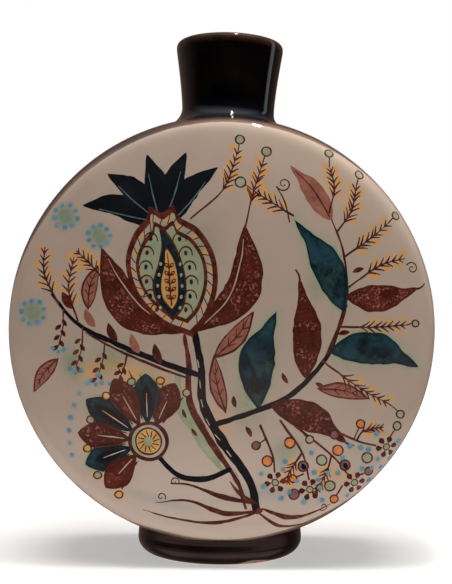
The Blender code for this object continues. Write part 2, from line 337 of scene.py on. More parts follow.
    # flame-shaped heart of the pod: teal round a column of seeds
    flame = spline([(-19.6, 4.5), (-25.4, 10.5), (-27.6, 18.0), (-25.4, 27.0),
                    (-24.4, 34.0), (-25.4, 41.5), (-20.0, 35.0), (-16.4, 27.0),
                    (-14.6, 18.0), (-15.6, 10.0), (-19.6, 4.5)], 0.8)[:-1]
    fm = np.array([-20.8, 20.0])
    p.add("iron", fm + (flame - fm) * 1.06)
    p.add("teal", fm + (flame - fm) * 0.95)
    core = spline([(-20.0, 8.5), (-23.6, 13.0), (-24.4, 19.0), (-23.2, 26.0),
                   (-22.6, 32.5), (-19.2, 27.0), (-17.8, 19.0), (-18.0, 12.5),
                   (-20.0, 8.5)], 0.7)[:-1]
    p.add("iron", np.array([-21.0, 20.0]) + (core - [-21.0, 20.0]) * 1.09)
    p.add("ochre", core)
    p.stroke("iron", [(-20.2, 10.0), (-21.0, 18.0), (-21.4, 25.0), (-22.2, 31.0)],
             (0.7, 0.7, 0.6, 0.3), 0.8, 0.04)
    for i, y in enumerate([12.6, 15.8, 19.0, 22.2, 25.4]):
        x = -20.4 - 0.07 * (y - 12)
        w = 2.4 - abs(y - 18.4) * 0.09
        for side in (-1, 1):
            p.leaf("iron", (x, y - 0.6), (x + side * w, y + 1.7), 1.7, 0, 0.6, 0.8,
                   0, 0.03, step=0.5)
            p.disc("orange", x + side * w * 0.62, y + 0.85, 0.42, 0.42)
    for y in (9.0, 13.4, 17.8, 22.2, 26.6):
        x0 = -25.9 + abs(y - 18) * 0.13
        p.disc("celadon", x0, y, 0.55, 0.8, 0)
        p.disc("celadon", -16.0 - abs(y - 17) * 0.10, y, 0.55, 0.8, 0)

    # -- bough to the right, with large leaves in pairs
    bough = [(-3, -38), (12, -33), (29, -25), (43, -9), (50, 11), (49, 31),
             (43, 48)]
    p.stroke("black", bough[:5], (2.3, 2.2, 2.2, 1.8, 1.2), 1.0, 0.14)
    p.stroke("iron", bough[3:], (1.6, 1.2, 0.9, 0.6), 1.0, 0.08)
    leaves = [("teal", (15, -31.5), (22, 8), 14.5, 3.5, 0.46, 1.0),
              ("russet", (20, -30), (51, -45), 12.0, 2.6, 0.44, 0.9),
              ("russet", (34, -19), (31, 22), 11.5, -2.2, 0.40, 1.0),
              ("teal", (43.5, -8), (80, -14), 13.0, 4.0, 0.44, 0.9),
              ("teal", (49.5, 8), (29, 45), 12.5, -3.2, 0.42, 1.0),
              ("russet", (50, 14), (80, 18), 11.0, -2.6, 0.42, 0.95),
              ("pinkbrown", (44, 45), (27, 67), 8.5, -1.6, 0.42, 0.9)]
    for pig, base, tip, width, bend, peak, sharp in leaves:
        c = p.leaf(pig, base, tip, width, bend, peak, sharp, 0.08, 0.22,
                   0.30)
        d = c[-1] - c[-4]
        d = d / math.hypot(*d)
        if pig == "russet":
            n = np.array([-d[1], d[0]])
            p.stroke("iron", [tuple(c[-3]), tuple(c[-1] + 0.8 * d),
                              tuple(c[-1] + 3.0 * d + 0.9 * n)],
                     (0.9, 0.95, 0.6), 0.7, 0.05)
        if pig == "pinkbrown":
            n = len(c)
            p.stroke("iron", [tuple(c[2]), tuple(c[n // 2]), tuple(c[n - 4])],
                     (0.6, 0.7, 0.3), 0.8, 0.05)
    # small buds and dabs along the bough
    for x, y, a in [(6, -31, 100), (10, -38.5, -60), (27, -21, 120),
                    (38, -20.5, -40), (47, -1, 10), (52.6, 24, 20)]:
        p.leaf("iron", (x, y), polar(x, y, 5.0, a), 2.0, 0.3, 0.5, 0.8, 0,
               0.05, step=0.6)

    for base, tip, width, bend in [((-3, -11), (13, 8), 7.5, -1.4),
                                   ((-54, 8), (-50, 26), 6.6, 1.4),
                                   ((2, -33), (-3, -9.5), 6.4, 1.2),
                                   ((39, -23), (60, -27), 6.4, 1.2),
                                   ((-66, -12), (-76, -26), 6.0, -1.2)]:
        p.leaf("iron", base, tip, width, bend, 0.45, 0.9, 0, 0.10)
        b0, t0 = np.array(base, float), np.array(tip, float)
        d0 = t0 - b0
        p.leaf("pinkbrown", tuple(b0 + 0.06 * d0), tuple(t0 - 0.07 * d0),
               width - 1.4, bend * 0.9, 0.45, 0.9, 0, 0.06)
        nrm0 = np.array([-d0[1], d0[0]]) / math.hypot(*d0)
        p.stroke("iron", [tuple(b0), tuple(b0 + 0.5 * d0 + nrm0 * bend),
                          tuple(b0 + 0.86 * d0)], (0.7, 0.6, 0.25), 0.8, 0.04)
        for f in (0.3, 0.48, 0.66):
            q0 = b0 + f * d0 + nrm0 * bend * 4 * f * (1 - f)
            for side in (-1, 1):
                far = q0 + d0 * 0.11 + side * nrm0 * width * 0.26
                p.stroke("iron", [tuple(q0), tuple(far)], (0.5, 0.3), 0.7, 0.03)

    # -- sprigs in the upper right
    p.fern([(46, 40), (52, 49), (54, 59)], 8, 4.0, 0.25)
    p.fern([(49, 30), (60, 38), (67, 44)], 8, 4.0, 0.25)
    p.fern([(43, 48), (45, 58), (43, 67)], 6, 3.4, 0.35)
    p.fern([(28.5, 46.5), (22, 50.5), (13, 56)], 6, 4.0, 0.22)
    p.fern([(9, 41), (12, 55), (16, 68)], 8, 3.8, 0.40)
    p.fern([(-13, 45), (0, 57), (6, 73)], 8, 3.8, 0.50)
    p.fern([(51, 18), (64, 27), (74, 30)], 7, 3.6, 0.35)
    p.fern([(48, 2), (62, 2), (75, 3)], 8, 3.8, 0.30)
    p.fern([(41, -12), (55, -22), (68, -29)], 9, 4.0, 0.3)
    for x, y, r, bx, by in [(55.5, 64.0, 2.1, 54, 59), (70.6, 47.5, 2.0, 67, 44),
                            (43.0, 72.5, 2.0, 43, 67), (7.0, 60.0, 2.4, 13, 56),
                            (78.5, 3.6, 1.7, 75, 3), (72.8, -33.2, 1.9, 68, -29),
                            (17.4, 72.6, 2.2, 16, 68), (6.6, 77.4, 2.1, 6, 73)]:
        p.stroke("iron", [(bx, by), ((bx + x) / 2, (by + y) / 2 + 0.3), (x, y)],
                 (0.55, 0.5), 0.8, 0.04)
        p.berry(x, y, r)
    p.curl("iron", 77.0, 26.0, 2.6, 150, -1.3, 0.55)
    p.curl("iron", 24.5, 59.5, 3.0, 200, 1.4, 0.6)
    p.stroke("iron", [(27, 44), (25, 52), (21.6, 58.5)], (0.6, 0.5), 0.8, 0.05)

    # -- drooping berry sprays, right of the trunk
    for pts, ends in [
            ([(24, -36), (33, -49), (36, -60)], (36.4, -64.0)),
            ([(30, -38), (45, -50), (52, -58)], (54.6, -61.2)),
            ([(40, -37), (55, -44), (63, -46)], (67.4, -46.6)),
            ([(16, -38), (21, -50), (22, -57)], (22.3, -61.2))]:
        p.stroke("iron", pts, (1.1, 0.9, 0.7), 0.9, 0.06)
        p.floret(*ends, 4.6, 6, 10, "iron", "celadon")
    for x, y, fill, shine in [(28.0, -45.0, "orange", None), (33.5, -54.5, "mauve", "black"),
                              (41.0, -52.0, "celadon", None), (47.5, -48.0, "orange", None),
                              (50.5, -54.0, "mauve", "black"), (59.5, -51.0, "celadon", None),
                              (19.0, -52.5, "orange", None), (44.5, -62.5, "celadon", None),
                              (30.0, -66.0, "mauve", None)]:
        p.berry(x, y, 2.4, fill, "iron", shine)
    for x, y, bx, by, r, fill in [
            (46.0, -41.6, 43.5, -38.5, 2.0, "mauve"), (56.6, -37.2, 54, -43.4, 2.0, "orange"),
            (36.0, -43.6, 33.6, -41.2, 1.9, "celadon"), (14.4, -46.2, 18.2, -43.6, 2.0, "mauve"),
            (60.4, -56.6, 56.2, -58.2, 2.0, "mauve"), (29.4, -59.6, 33.8, -57.6, 1.9, "orange"),
            (71.6, -38.0, 68.4, -43.0, 2.0, "celadon"), (46.4, -68.0, 49.6, -62.4, 2.0, "orange")]:
        p.stroke("iron", [(bx, by), (x, y)], (0.7, 0.6), 0.8, 0.04)
        p.berry(x, y, r, fill)
    p.fern([(33, -49), (28, -57), (27, -62)], 6, 3.2, 0.3)
    p.fern([(45, -50), (43, -57), (38.5, -66)], 7, 3.2, 0.3, dots=3)
    p.fern([(55, -44), (58, -40), (66, -38.5)], 6, 3.2, 0.3, dots=3)
    p.dots("blue", [(38, -57), (39.6, -60), (40.4, -63.4), (47.6, -57.2),
                    (57.6, -55.6), (61.6, -55.2), (64.0, -51.6), (26.2, -52.6),
                    (25.4, -55.8), (34.0, -69.0), (31.0, -60.6), (56.8, -46.8),
                    (69.6, -51.6), (52.4, -46.2), (24.8, -67.6), (43.6, -57.2),
                    (16.6, -57.6), (28.0, -65.0), (41.4, -68.4), (61.0, -60.6),
                    (65.6, -55.2), (49.4, -51.0), (60.0, -47.6), (36.8, -49.0),
                    (17.6, -62.8), (52.0, -66.8), (72.6, -44.4), (63.2, -41.2)],
           1.1, "blue")

    # -- left-hand branch that arches over hanging catkins
    arch = [(-9, -18), (-24, -13), (-42, -6), (-58, 2), (-69, 14)]
    p.stroke("black", arch, (2.4, 2.5, 2.1, 1.6, 0.9), 1.0, 0.12)
    p.stroke("iron", [(-13, -19.4), (-24, -15.6), (-41, -8.6), (-55, -1.4)],
             (0.8, 1.2, 1.1, 0.5), 1.0, 0.08)
    for i, (x, y, a, ln) in enumerate([
            (-38, -10.4, -110, 12), (-47, -5.2, -102, 15), (-56, 0.6, -99, 16),
            (-64, 8.0, -97, 15)]):
        end = polar(x, y, ln, a)
        mid_p = polar(x, y, ln * 0.5, a + 6)
        p.stroke("iron", [(x, y), mid_p, end], (0.7, 0.55, 0.5), 0.9, 0.05)
        t = np.linspace(0.28, 0.98, 6)
        for j, f in enumerate(t):
            px = x + (end[0] - x) * f
            py = y + (end[1] - y) * f
            sgn = 1 if (i + j) % 2 else -1
            p.leaf("russet" if i % 2 else "iron", (px, py),
                   polar(px, py, 3.4, a + sgn * 42), 1.7, 0, 0.5, 0.8, 0, 0.04,
                   step=0.6)
        p.dots("blue", [polar(*end, 2.4, a), polar(*end, 2.6, a - 62),
                        polar(*end, 2.6, a + 62)], 0.95, "blue")
    for x, y, a in [(-24, -12, 96), (-33, -8, 100), (-42, -3.4, 104),
                    (-51, 2.4, 108), (-60, 9.6, 112)]:
        p.leaf("pinkbrown" if x % 2 else "iron", (x, y - 1.5),
               polar(x, y, 7.2, a + 18), 3.4, 0.6, 0.45, 0.8, 0, 0.06, step=0.7)
    p.fern([(-66, 10), (-72, 22), (-72, 33)], 8, 3.8, 0.2)
    p.fern([(-58, 3), (-62, 16), (-60, 29)], 8, 3.8, 0.25)
    p.fern([(-48.5, 21), (-54, 27), (-59, 31.5)], 6, 3.6, 0.22)
    for x, y, r in [(-63.8, 45.6, 4.8), (-50.0, 37.6, 4.4), (-76.6, 6.5, 4.8)]:
        p.soft("green", x, y, r * 0.80, r * 0.88, 20, 1.0)
        p.soft("green", x + 0.3, y - 0.5, r * 0.55, r * 0.60, 20, 0.8)
        p.soft("blue", x + 0.3, y - 0.6, r * 0.36, r * 0.40, 0, 0.45)
        for k in range(9):
            q = polar(x, y, r * (0.96 + 0.08 * (k % 2)), k * 40 + 12 + x)
            p.dots("blue", [q], 1.05, "blue")

    # -- fan-shaped seed head at the lower left, on a short stalk
    p.stroke("black", [(4, -56), (-6, -60), (-18, -58), (-29, -46)],
             (1.9, 2.4, 2.0, 1.5), 1.0, 0.10)
    fx, fy = -29.0, -45.0
    for i, a in enumerate([66, 93, 120, 147, 174, 201, 228]):
        reach = 30.5 - abs(i - 3) * 1.5
        base = polar(fx, fy, 6.5, a)
        p.leaf("teal" if i % 2 else "russet", base, polar(fx, fy, reach, a), 11.2,
               0.0, 0.60, 0.8, 0, 0.16, step=0.8)
        if i % 2:
            p.leaf("black", polar(fx, fy, 9.5, a), polar(fx, fy, reach - 5, a), 4.4,
                   0.0, 0.62, 0.8, 0, 0.08, step=0.8)
        p.stroke("cream", [polar(fx, fy, 10.0, a), polar(fx, fy, 16.0, a),
                           polar(fx, fy, reach - 8, a)], (0.3, 0.55, 0.2), 0.8, 0.03)
    for i in range(8):
        a = 52.5 + 27 * i
        q = polar(fx, fy, 25.0, a)
        p.stroke("iron", [polar(fx, fy, 9.5, a), polar(fx, fy, 22.5, a)],
                 (0.6, 0.5), 0.8, 0.04)
        p.soft("yellow", q[0], q[1], 2.6, 2.4, 0, 0.7)
        p.disc("iron", q[0], q[1], 1.9, 1.8)
        p.disc("ochre" if i % 2 else "celadon", q[0], q[1], 1.3, 1.2)
    p.dots("blue", [polar(fx, fy, 34.2 - 0.05 * abs(a - 140), a)
                    for a in range(128, 200, 9)], 1.05, "blue")
    p.ring("iron", "cream", fx, fy, 8.2, 1.5, 0.12)
    p.ring("iron", "ochre", fx, fy, 5.6, 0.7, 0.10)
    for a in range(0, 360, 30):
        p.stroke("iron", [polar(fx, fy, 1.9, a), polar(fx, fy, 4.4, a + 12)],
                 (0.55, 0.4), 0.7, 0.03)
    p.disc("celadon", fx, fy, 1.9, 1.8)

    # -- sweeping grass at the bottom
    for pts, widths in [
            ([(16, -73), (2, -74), (-13, -69), (-26, -70)], (0.8, 2.2, 1.0, 0.4)),
            ([(16, -73.5), (-2, -78), (-20, -76), (-31, -73)], (0.7, 1.5, 0.8, 0.35)),
            ([(14, -70), (0, -67), (-12, -62.5), (-20, -62)], (0.8, 2.4, 1.0, 0.4)),
            ([(17, -72), (28, -75.5), (38, -73.5), (45, -70)], (0.8, 2.3, 1.0, 0.4)),
            ([(16, -74), (24, -79), (33, -79), (38, -77)], (0.7, 1.5, 0.8, 0.35)),
            ([(15, -70), (8, -66), (4, -61)], (0.7, 1.8, 0.4))]:
        p.stroke("iron", pts, widths, 0.9, 0.08)
    p.disc("iron", 15.6, -73.0, 1.8, 1.2, 20, 0.14)
    for x, y, a in [(-22, -68.6, 150), (-16.4, -61.6, 170), (40.5, -72.4, 40)]:
        p.curl("iron", *polar(x, y, 2.0, a), 1.9, a + 180, 1.1, 0.5)
    return p


def paint_back():
    p = Painting(29)
    for w in [("green", -4, 4, 14, 9, 40, 0.7), ("yellow", 10, 24, 8, 6, 0, 0.5),
              ("grey", 6, -18, 6, 12, 15, 0.45), ("blue", -4, -60, 20, 2.6, 4, 0.45),
              ("green", 16, 40, 9, 6, 20, 0.6)]:
        p.soft(*w)
    stem = [(-6, -66), (-3, -44), (5, -22), (5, 2), (-2, 26)]
    p.stroke("black", stem, (2.6, 2.4, 2.2, 1.8, 1.3), 1.0, 0.14)
    p.stroke("iron", [(-8.6, -65), (-5.6, -44), (2.0, -22), (2.2, 1)],
             (0.7, 1.0, 1.0, 0.6), 1.0, 0.08)
    for pig, base, tip, width, bend in [
            ("teal", (-3, -42), (-38, -22), 13.5, -4.0),
            ("russet", (-1, -36), (36, -30), 12.5, 4.0),
            ("russet", (4, -18), (-30, 8), 12.5, -4.0),
            ("teal", (5, -12), (42, 4), 13.5, 4.0),
            ("teal", (3, 10), (-26, 36), 11.5, -3.4),
            ("russet", (3, 12), (32, 36), 11.5, 3.4)]:
        p.leaf(pig, base, tip, width, bend, 0.45, 0.95, 0.06, 0.2, 0.15)
    for a in (58, 78, 98, 118):
        p.leaf("black" if a in (78, 98) else "russet", (-2.5, 27),
               polar(-2.5, 27, 30 - abs(a - 88) * 0.12, a), 8.0,
               (a - 88) * 0.06, 0.5, 0.85, 0, 0.16)
    p.ring("iron", "celadon", -2.4, 28.5, 4.6, 1.0, 0.10)
    for pts, n in [([(-20, -34), (-36, -42), (-50, -44)], 9),
                   ([(14, -34), (30, -46), (44, -52)], 9),
                   ([(-14, -6), (-36, -4), (-54, 0)], 10),
                   ([(22, -4), (44, -10), (60, -14)], 10),
                   ([(-10, 20), (-34, 24), (-50, 28)], 9),
                   ([(14, 22), (36, 24), (52, 30)], 9)]:
        p.fern(pts, n, 4.0, 0.35)
        x, y = pts[-1]
        d = 1 if x > 0 else -1
        p.berry(x + d * 2.6, y + 0.6, 2.0)
        p.dots("blue", [(x + d * 6.4, y + 2.6), (x + d * 6.8, y - 0.6),
                        (x + d * 5.6, y - 3.2)], 0.9, "blue")
    for pts, widths in [
            ([(-6, -67), (-20, -70), (-32, -66)], (0.5, 1.3, 0.3)),
            ([(-6, -67), (8, -71), (24, -67)], (0.5, 1.4, 0.3)),
            ([(-6, -66), (-16, -62), (-24, -56)], (0.5, 1.0, 0.3)),
            ([(-6, -66), (4, -62), (14, -60)], (0.5, 1.0, 0.3))]:
        p.stroke("iron", pts, widths, 0.9, 0.08)
    return p
# ------------------------------------------------------ end of brush drawing


# --------------------------------------------------------- shape of the body
def cad_edge():
    a = math.asin(SIDE_HALF / SIDE_ARC_R)
    r = BODY_R - SIDE_ARC_R + SIDE_ARC_R * math.cos(a)
    return a, r - EDGE_R * math.cos(a), SIDE_HALF - EDGE_R * math.sin(a)


EDGE_A, EDGE_CR, EDGE_CT = cad_edge()
SLOPE = math.radians(DOME_DEG)
DOME_R = (EDGE_CR + EDGE_R * math.sin(SLOPE)) / math.sin(SLOPE)
DOME_T = EDGE_CT + EDGE_R * math.cos(SLOPE) - DOME_R * math.cos(SLOPE)


def outer_table():
    """Run, radius, depth and slope of the outside, from the face's centre to
    the seam and a little past it. The corners of the CAD profile are eased,
    as glaze eases them."""
    step = 0.02 * MM
    runs = [DOME_R * SLOPE, EDGE_R * (math.pi / 2 - SLOPE - EDGE_A),
            SIDE_ARC_R * EDGE_A]
    total = sum(runs)
    s = np.arange(-0.012, 2 * total + 0.012, step)
    m = np.where(s > total, 2 * total - s, s)
    bend = np.where(m < runs[0], 1 / DOME_R,
                    np.where(m < runs[0] + runs[1], 1 / EDGE_R, 1 / SIDE_ARC_R))
    reach = int(EASE * 3.2 / step)
    x = np.arange(-reach, reach + 1) * step
    kernel = np.exp(-0.5 * (x / EASE) ** 2)
    bend = np.convolve(np.pad(bend, reach, "edge"), kernel / kernel.sum(),
                       "valid")
    tilt = np.cumsum(bend) * step
    tilt -= np.interp(0.0, s, tilt)
    tilt *= (math.pi / 2) / np.interp(total, s, tilt)
    r = np.cumsum(np.cos(tilt)) * step
    t = -np.cumsum(np.sin(tilt)) * step
    r -= np.interp(0.0, s, r)
    t -= np.interp(total, s, t)
    r *= BODY_R / np.interp(total, s, r)
    t *= (DOME_T + DOME_R) / np.interp(0.0, s, t)
    keep = (s >= -0.001) & (s <= total + 0.004)
    return s[keep], r[keep], t[keep], tilt[keep], total


EASE = 2.0 * MM
S_TAB, R_TAB, T_TAB, A_TAB, S_SEAM = outer_table()
FACE_S = DOME_R * SLOPE


def inner_table():
    """Run, radius and depth of the inside of one dish, face to seam."""
    wall_c, wall_r = BODY_R - SIDE_ARC_R, SIDE_ARC_R - WALL
    face_r = DOME_R - WALL
    low, high = 0.0, math.radians(30)
    for _ in range(60):
        mid = (low + high) / 2
        r = wall_c + wall_r * math.cos(mid)
        if wall_r * math.sin(mid) < DOME_T + math.sqrt(face_r ** 2 - r ** 2):
            low = mid
        else:
            high = mid
    corner = np.array([wall_c + wall_r * math.cos(low), wall_r * math.sin(low)])
    a1 = low - INNER_EDGE / wall_r
    b1 = math.asin(corner[0] / face_r) - INNER_EDGE / face_r
    start = np.array([wall_c + wall_r * math.cos(a1), wall_r * math.sin(a1)])
    stop = np.array([face_r * math.sin(b1), DOME_T + face_r * math.cos(b1)])
    pts = [(face_r * math.sin(b), DOME_T + face_r * math.cos(b))
           for b in np.linspace(0, b1, 60)]
    for u in np.linspace(0, 1, 30)[1:]:
        q = (1 - u) ** 2 * stop + 2 * u * (1 - u) * corner + u * u * start
        pts.append(tuple(q))
    pts += [(wall_c + wall_r * math.cos(a), wall_r * math.sin(a))
            for a in np.linspace(a1, 0.00015 / wall_r, 30)[1:]]
    pts = np.array(pts)
    run = np.concatenate([[0], np.cumsum(np.hypot(*np.diff(pts, axis=0).T))])
    return run, pts[:, 0], pts[:, 1]


SI_TAB, RI_TAB, TI_TAB = inner_table()


def radius_at(t, inside=False):
    """Body radius at a distance t in front of or behind the seam."""
    if inside:
        return np.interp(t, TI_TAB[::-1], RI_TAB[::-1])
    k = S_TAB > FACE_S * 0.5
    return np.interp(t, T_TAB[k][::-1], R_TAB[k][::-1])


def run_at(t, inside=False):
    if inside:
        return np.interp(t, TI_TAB[::-1], SI_TAB[::-1])
    k = (S_TAB > FACE_S * 0.5) & (S_TAB <= S_SEAM)
    return np.interp(t, T_TAB[k][::-1], S_TAB[k][::-1])


WAVE_IN = 0.06 * MM


def hand_wave(p):
    """Slight unevenness of a hand-finished wall, always inwards."""
    x, y, z = p.T
    w = (np.sin(math.tau * (17 * x + 8 * z) + 1.3)
         + np.sin(math.tau * (20 * z - 10 * x + 6 * y) + 0.4)
         + np.sin(math.tau * (9 * x + 13 * z - 11 * y) + 2.1))
    return 0.02 * MM * w - WAVE_IN


def skin(uv, side, inside=False):
    """World points for flat points of the unrolled half, side -1 front."""
    s = np.hypot(*uv.T)
    a = np.arctan2(uv[:, 1], uv[:, 0])
    if inside:
        r, t = np.interp(s, SI_TAB, RI_TAB), np.interp(s, SI_TAB, TI_TAB)
    else:
        r, t = np.interp(s, S_TAB, R_TAB), np.interp(s, S_TAB, T_TAB)
    c, d = np.cos(a), np.sin(a)
    p = np.column_stack([-side * r * c, side * t, CENTRE_Z + r * d])
    if inside:
        return p
    tilt = np.interp(s, S_TAB, A_TAB)
    n = np.column_stack([-side * np.sin(tilt) * c, side * np.cos(tilt),
                         np.sin(tilt) * d])
    return p + n * hand_wave(p)[:, None]


def skin_normals(uv, side, inside=False):
    e = 0.05 * MM
    du, dv = np.array([e, 0.0]), np.array([0.0, e])
    n = np.cross(skin(uv + du, side, inside) - skin(uv - du, side, inside),
                 skin(uv + dv, side, inside) - skin(uv - dv, side, inside))
    if inside:
        n = -n
    return n / np.maximum(np.linalg.norm(n, axis=1), 1e-12)[:, None]


BITE_STEPS = 72
SEAM_STEPS = 420


def border(side, inside=False):
    """Closed loop round the unrolled half: the seam, then the neck opening."""
    tau = np.linspace(0, math.pi, BITE_STEPS + 1)
    if side > 0:
        tau = tau[::-1]
    x = NECK_BORE_R * np.cos(tau)
    t = NECK_BORE_R * np.sin(tau)
    t[[0, -1]] = TI_TAB[-1] if inside else 0.0
    h = np.sqrt(radius_at(t, inside) ** 2 - x ** 2)
    wx = x * math.cos(LEAN) + h * math.sin(LEAN)
    wz = -x * math.sin(LEAN) + h * math.cos(LEAN)
    a = np.arctan2(wz, -side * wx)
    s = run_at(t, inside)
    s[[0, -1]] = SI_TAB[-1] if inside else S_SEAM
    bite = np.column_stack([s * np.cos(a), s * np.sin(a)])
    end = s[0]
    round_a = np.linspace(a[-1], a[0] + math.tau, SEAM_STEPS + 1)[1:-1]
    seam = end * np.column_stack([np.cos(round_a), np.sin(round_a)])
    return np.vstack([bite, seam])


def inside_polygon(pts, poly):
    """Which points lie in the polygon, by winding number."""
    x, y = pts[:, 0:1], pts[:, 1:2]
    x0, y0 = poly[:, 0], poly[:, 1]
    x1, y1 = np.roll(x0, -1), np.roll(y0, -1)
    left = (x1 - x0) * (y - y0) - (x - x0) * (y1 - y0)
    up = (y0 <= y) & (y1 > y) & (left > 0)
    down = (y0 > y) & (y1 <= y) & (left < 0)
    return (up.sum(1) - down.sum(1)) != 0


def near(points, others, reach):
    """For each point, the distance to the closest of the others, or reach."""
    out = np.full(len(points), reach)
    if not len(others):
        return out
    tree = KDTree(len(others))
    for i, q in enumerate(others):
        tree.insert((q[0], q[1], 0.0), i)
    tree.balance()
    for i, q in enumerate(points):
        out[i] = min(reach, tree.find((q[0], q[1], 0.0))[2])
    return out


def hexes(radius, gap, cx=0.0, cy=0.0):
    rows = np.arange(-radius, radius + gap, gap * math.sqrt(3) / 2)
    cols = np.arange(-radius - gap, radius + gap, gap)
    g = np.array([(x + (gap / 2 if j % 2 else 0), y)
                  for j, y in enumerate(rows) for x in cols])
    g = g[np.hypot(*g.T) < radius]
    return g + np.array([cx, cy])


def mesh_points(loop, shapes, softs, fine):
    """Points that fill the unrolled half, in millimetres."""
    seam = S_SEAM / MM
    sets = [hexes(81.0, fine)]
    r = 81.8
    while r < 91.5:
        n = int(math.tau * r / 1.5)
        a = np.linspace(0, math.tau, n, endpoint=False) + (r * 7.1) % 1.0
        sets.append(r * np.column_stack([np.cos(a), np.sin(a)]))
        r += 0.62
    while r < seam - 1.0:
        n = int(math.tau * r / 2.6)
        a = np.linspace(0, math.tau, n, endpoint=False) + (r * 3.3) % 1.0
        sets.append(r * np.column_stack([np.cos(a), np.sin(a)]))
        r += 1.9
    for _, x, y, rx, ry, _, _ in softs:
        if max(rx, ry) < 5:
            sets.append(hexes(min(2.1 * max(rx, ry), 7.0), 0.62, x, y))
    pts = np.vstack(sets)
    lines = [q for _, q, _ in shapes]
    lines = np.vstack(lines) if lines else np.zeros((0, 2))
    pts = pts[near(pts, lines, 9.0) > 0.40]
    pts = pts[near(pts, loop, 9.0) > 0.9]
    pts = pts[inside_polygon(pts, loop)]
    # thin out points that crowd each other
    cells, keep = {}, []
    for i, q in enumerate(pts):
        key = (int(q[0] // 0.5), int(q[1] // 0.5))
        if key not in cells:
            cells[key] = i
            keep.append(i)
    return pts[keep]


def flat_mesh(loop, shapes, extra):
    """Triangles over the half that follow every painted outline."""
    verts, edges = [], []
    for ring_pts in [loop] + [q for _, q, _ in shapes]:
        n0, n = len(verts), len(ring_pts)
        verts += [Vector((float(x), float(y))) for x, y in ring_pts]
        edges += [(n0 + i, n0 + (i + 1) % n) for i in range(n)]
    verts += [Vector((float(x), float(y))) for x, y in extra]
    v, _, f, orig, _, _ = delaunay_2d_cdt(verts, edges, [], 0, 0.004)
    pts = np.array([(q[0], q[1]) for q in v])
    tris = np.array(f, int)
    where = {}
    for i, ids in enumerate(orig):
        for k in ids:
            if k < len(loop):
                where[k] = i
    pts_loop = [where[k] for k in range(len(loop))]
    a, b, c = (pts[tris[:, k]] for k in range(3))
    area = 0.5 * ((b[:, 0] - a[:, 0]) * (c[:, 1] - a[:, 1])
                  - (b[:, 1] - a[:, 1]) * (c[:, 0] - a[:, 0]))
    mid = (a + b + c) / 3
    keep = (np.abs(area) > 1e-9) & inside_polygon_big(mid, loop)
    tris, area, mid = tris[keep], area[keep], mid[keep]
    turned = area < 0
    tris[turned] = tris[turned][:, ::-1]
    return pts, tris, mid, pts_loop


def inside_polygon_big(pts, poly):
    out = np.zeros(len(pts), bool)
    for i in range(0, len(pts), 4000):
        out[i:i + 4000] = inside_polygon(pts[i:i + 4000], poly)
    return out


PIGMENTS = ["cream", "iron", "russet", "black", "teal", "tealline", "celadon",
            "ochre", "orange", "blue", "mauve", "pinkbrown"]


def colour_in(mid, shapes):
    """Pigment number and brush tone of every triangle."""
    pigment = np.zeros(len(mid), int)
    tone = np.full(len(mid), 0.5)
    for name, poly, shade in shapes:
        lo, hi = poly.min(0), poly.max(0)
        near_it = np.nonzero((mid >= lo).all(1) & (mid <= hi).all(1))[0]
        if len(near_it):
            hit = near_it[inside_polygon(mid[near_it], poly)]
            pigment[hit] = PIGMENTS.index(name)
            tone[hit] = shade
    return pigment, tone


# where the brown of the side takes over from the cream of the face, as an
# angle round the rounded edge (90 faces the front), against clock direction
BAND_AT = [(0, 16), (40, 17), (50, 31), (58, 40), (67, 49), (76, 54), (90, 54),
           (108, 59), (119, 62), (130, 58), (140, 55), (147, 51), (155, 43),
           (164, 30), (174, 17), (188, 20), (196, 17), (240, 17), (246, 34),
           (252, 54), (262, 53), (284, 49), (290, 48), (300, 49), (309, 30),
           (317, 17)]


def band_edge(angle):
    """Run, in millimetres, at which the brown begins."""
    d = np.degrees(angle) % 360
    x = np.array([a for a, _ in BAND_AT] + [360.0])
    y = np.array([b for _, b in BAND_AT] + [BAND_AT[0][1]], float)
    phi = sum(np.interp((d + k) % 360, x, y) for k in (-4, -2, 0, 2, 4)) / 5
    hand = 0.9 * np.sin(5 * angle + 0.7) + 0.6 * np.sin(11 * angle + 2.0) \
        + 0.35 * np.sin(23 * angle)
    phi = phi + hand * np.clip((phi - 12) / 30, 0.2, 1.0)
    tilt = np.radians(90 - phi)
    k = (S_TAB > 0) & (S_TAB < S_SEAM)
    return np.interp(tilt, A_TAB[k], S_TAB[k]) / MM


SOFT_KINDS = ["green", "yellow", "blue", "grey", "pink"]


def soft_fields(pts, softs):
    out = np.zeros((len(pts), len(SOFT_KINDS)))
    for kind, x, y, rx, ry, turn, strength in softs:
        c, s = math.cos(turn), math.sin(turn)
        m = (np.abs(pts - (x, y)) < 2.6 * max(rx, ry)).all(1)
        dx, dy = pts[m, 0] - x, pts[m, 1] - y
        u, v = (c * dx + s * dy) / rx, (c * dy - s * dx) / ry
        k = SOFT_KINDS.index(kind)
        g = strength * np.exp(-(u * u + v * v) ** 1.25)
        out[m, k] = 1 - (1 - out[m, k]) * (1 - g)
    return out


def put_attribute(mesh, name, kind, domain, values):
    att = mesh.attributes.new(name, kind, domain)
    flat = np.ascontiguousarray(values, dtype=np.float32).ravel()
    att.data.foreach_set("color" if kind == "FLOAT_COLOR" else "value", flat)


def build_mesh(name, verts, faces):
    mesh = bpy.data.meshes.new(name)
    mesh.from_pydata([tuple(map(float, v)) for v in verts], [],
                     [tuple(map(int, f)) for f in faces])
    mesh.update()
    obj = bpy.data.objects.new(name, mesh)
    bpy.context.scene.collection.objects.link(obj)
    return obj


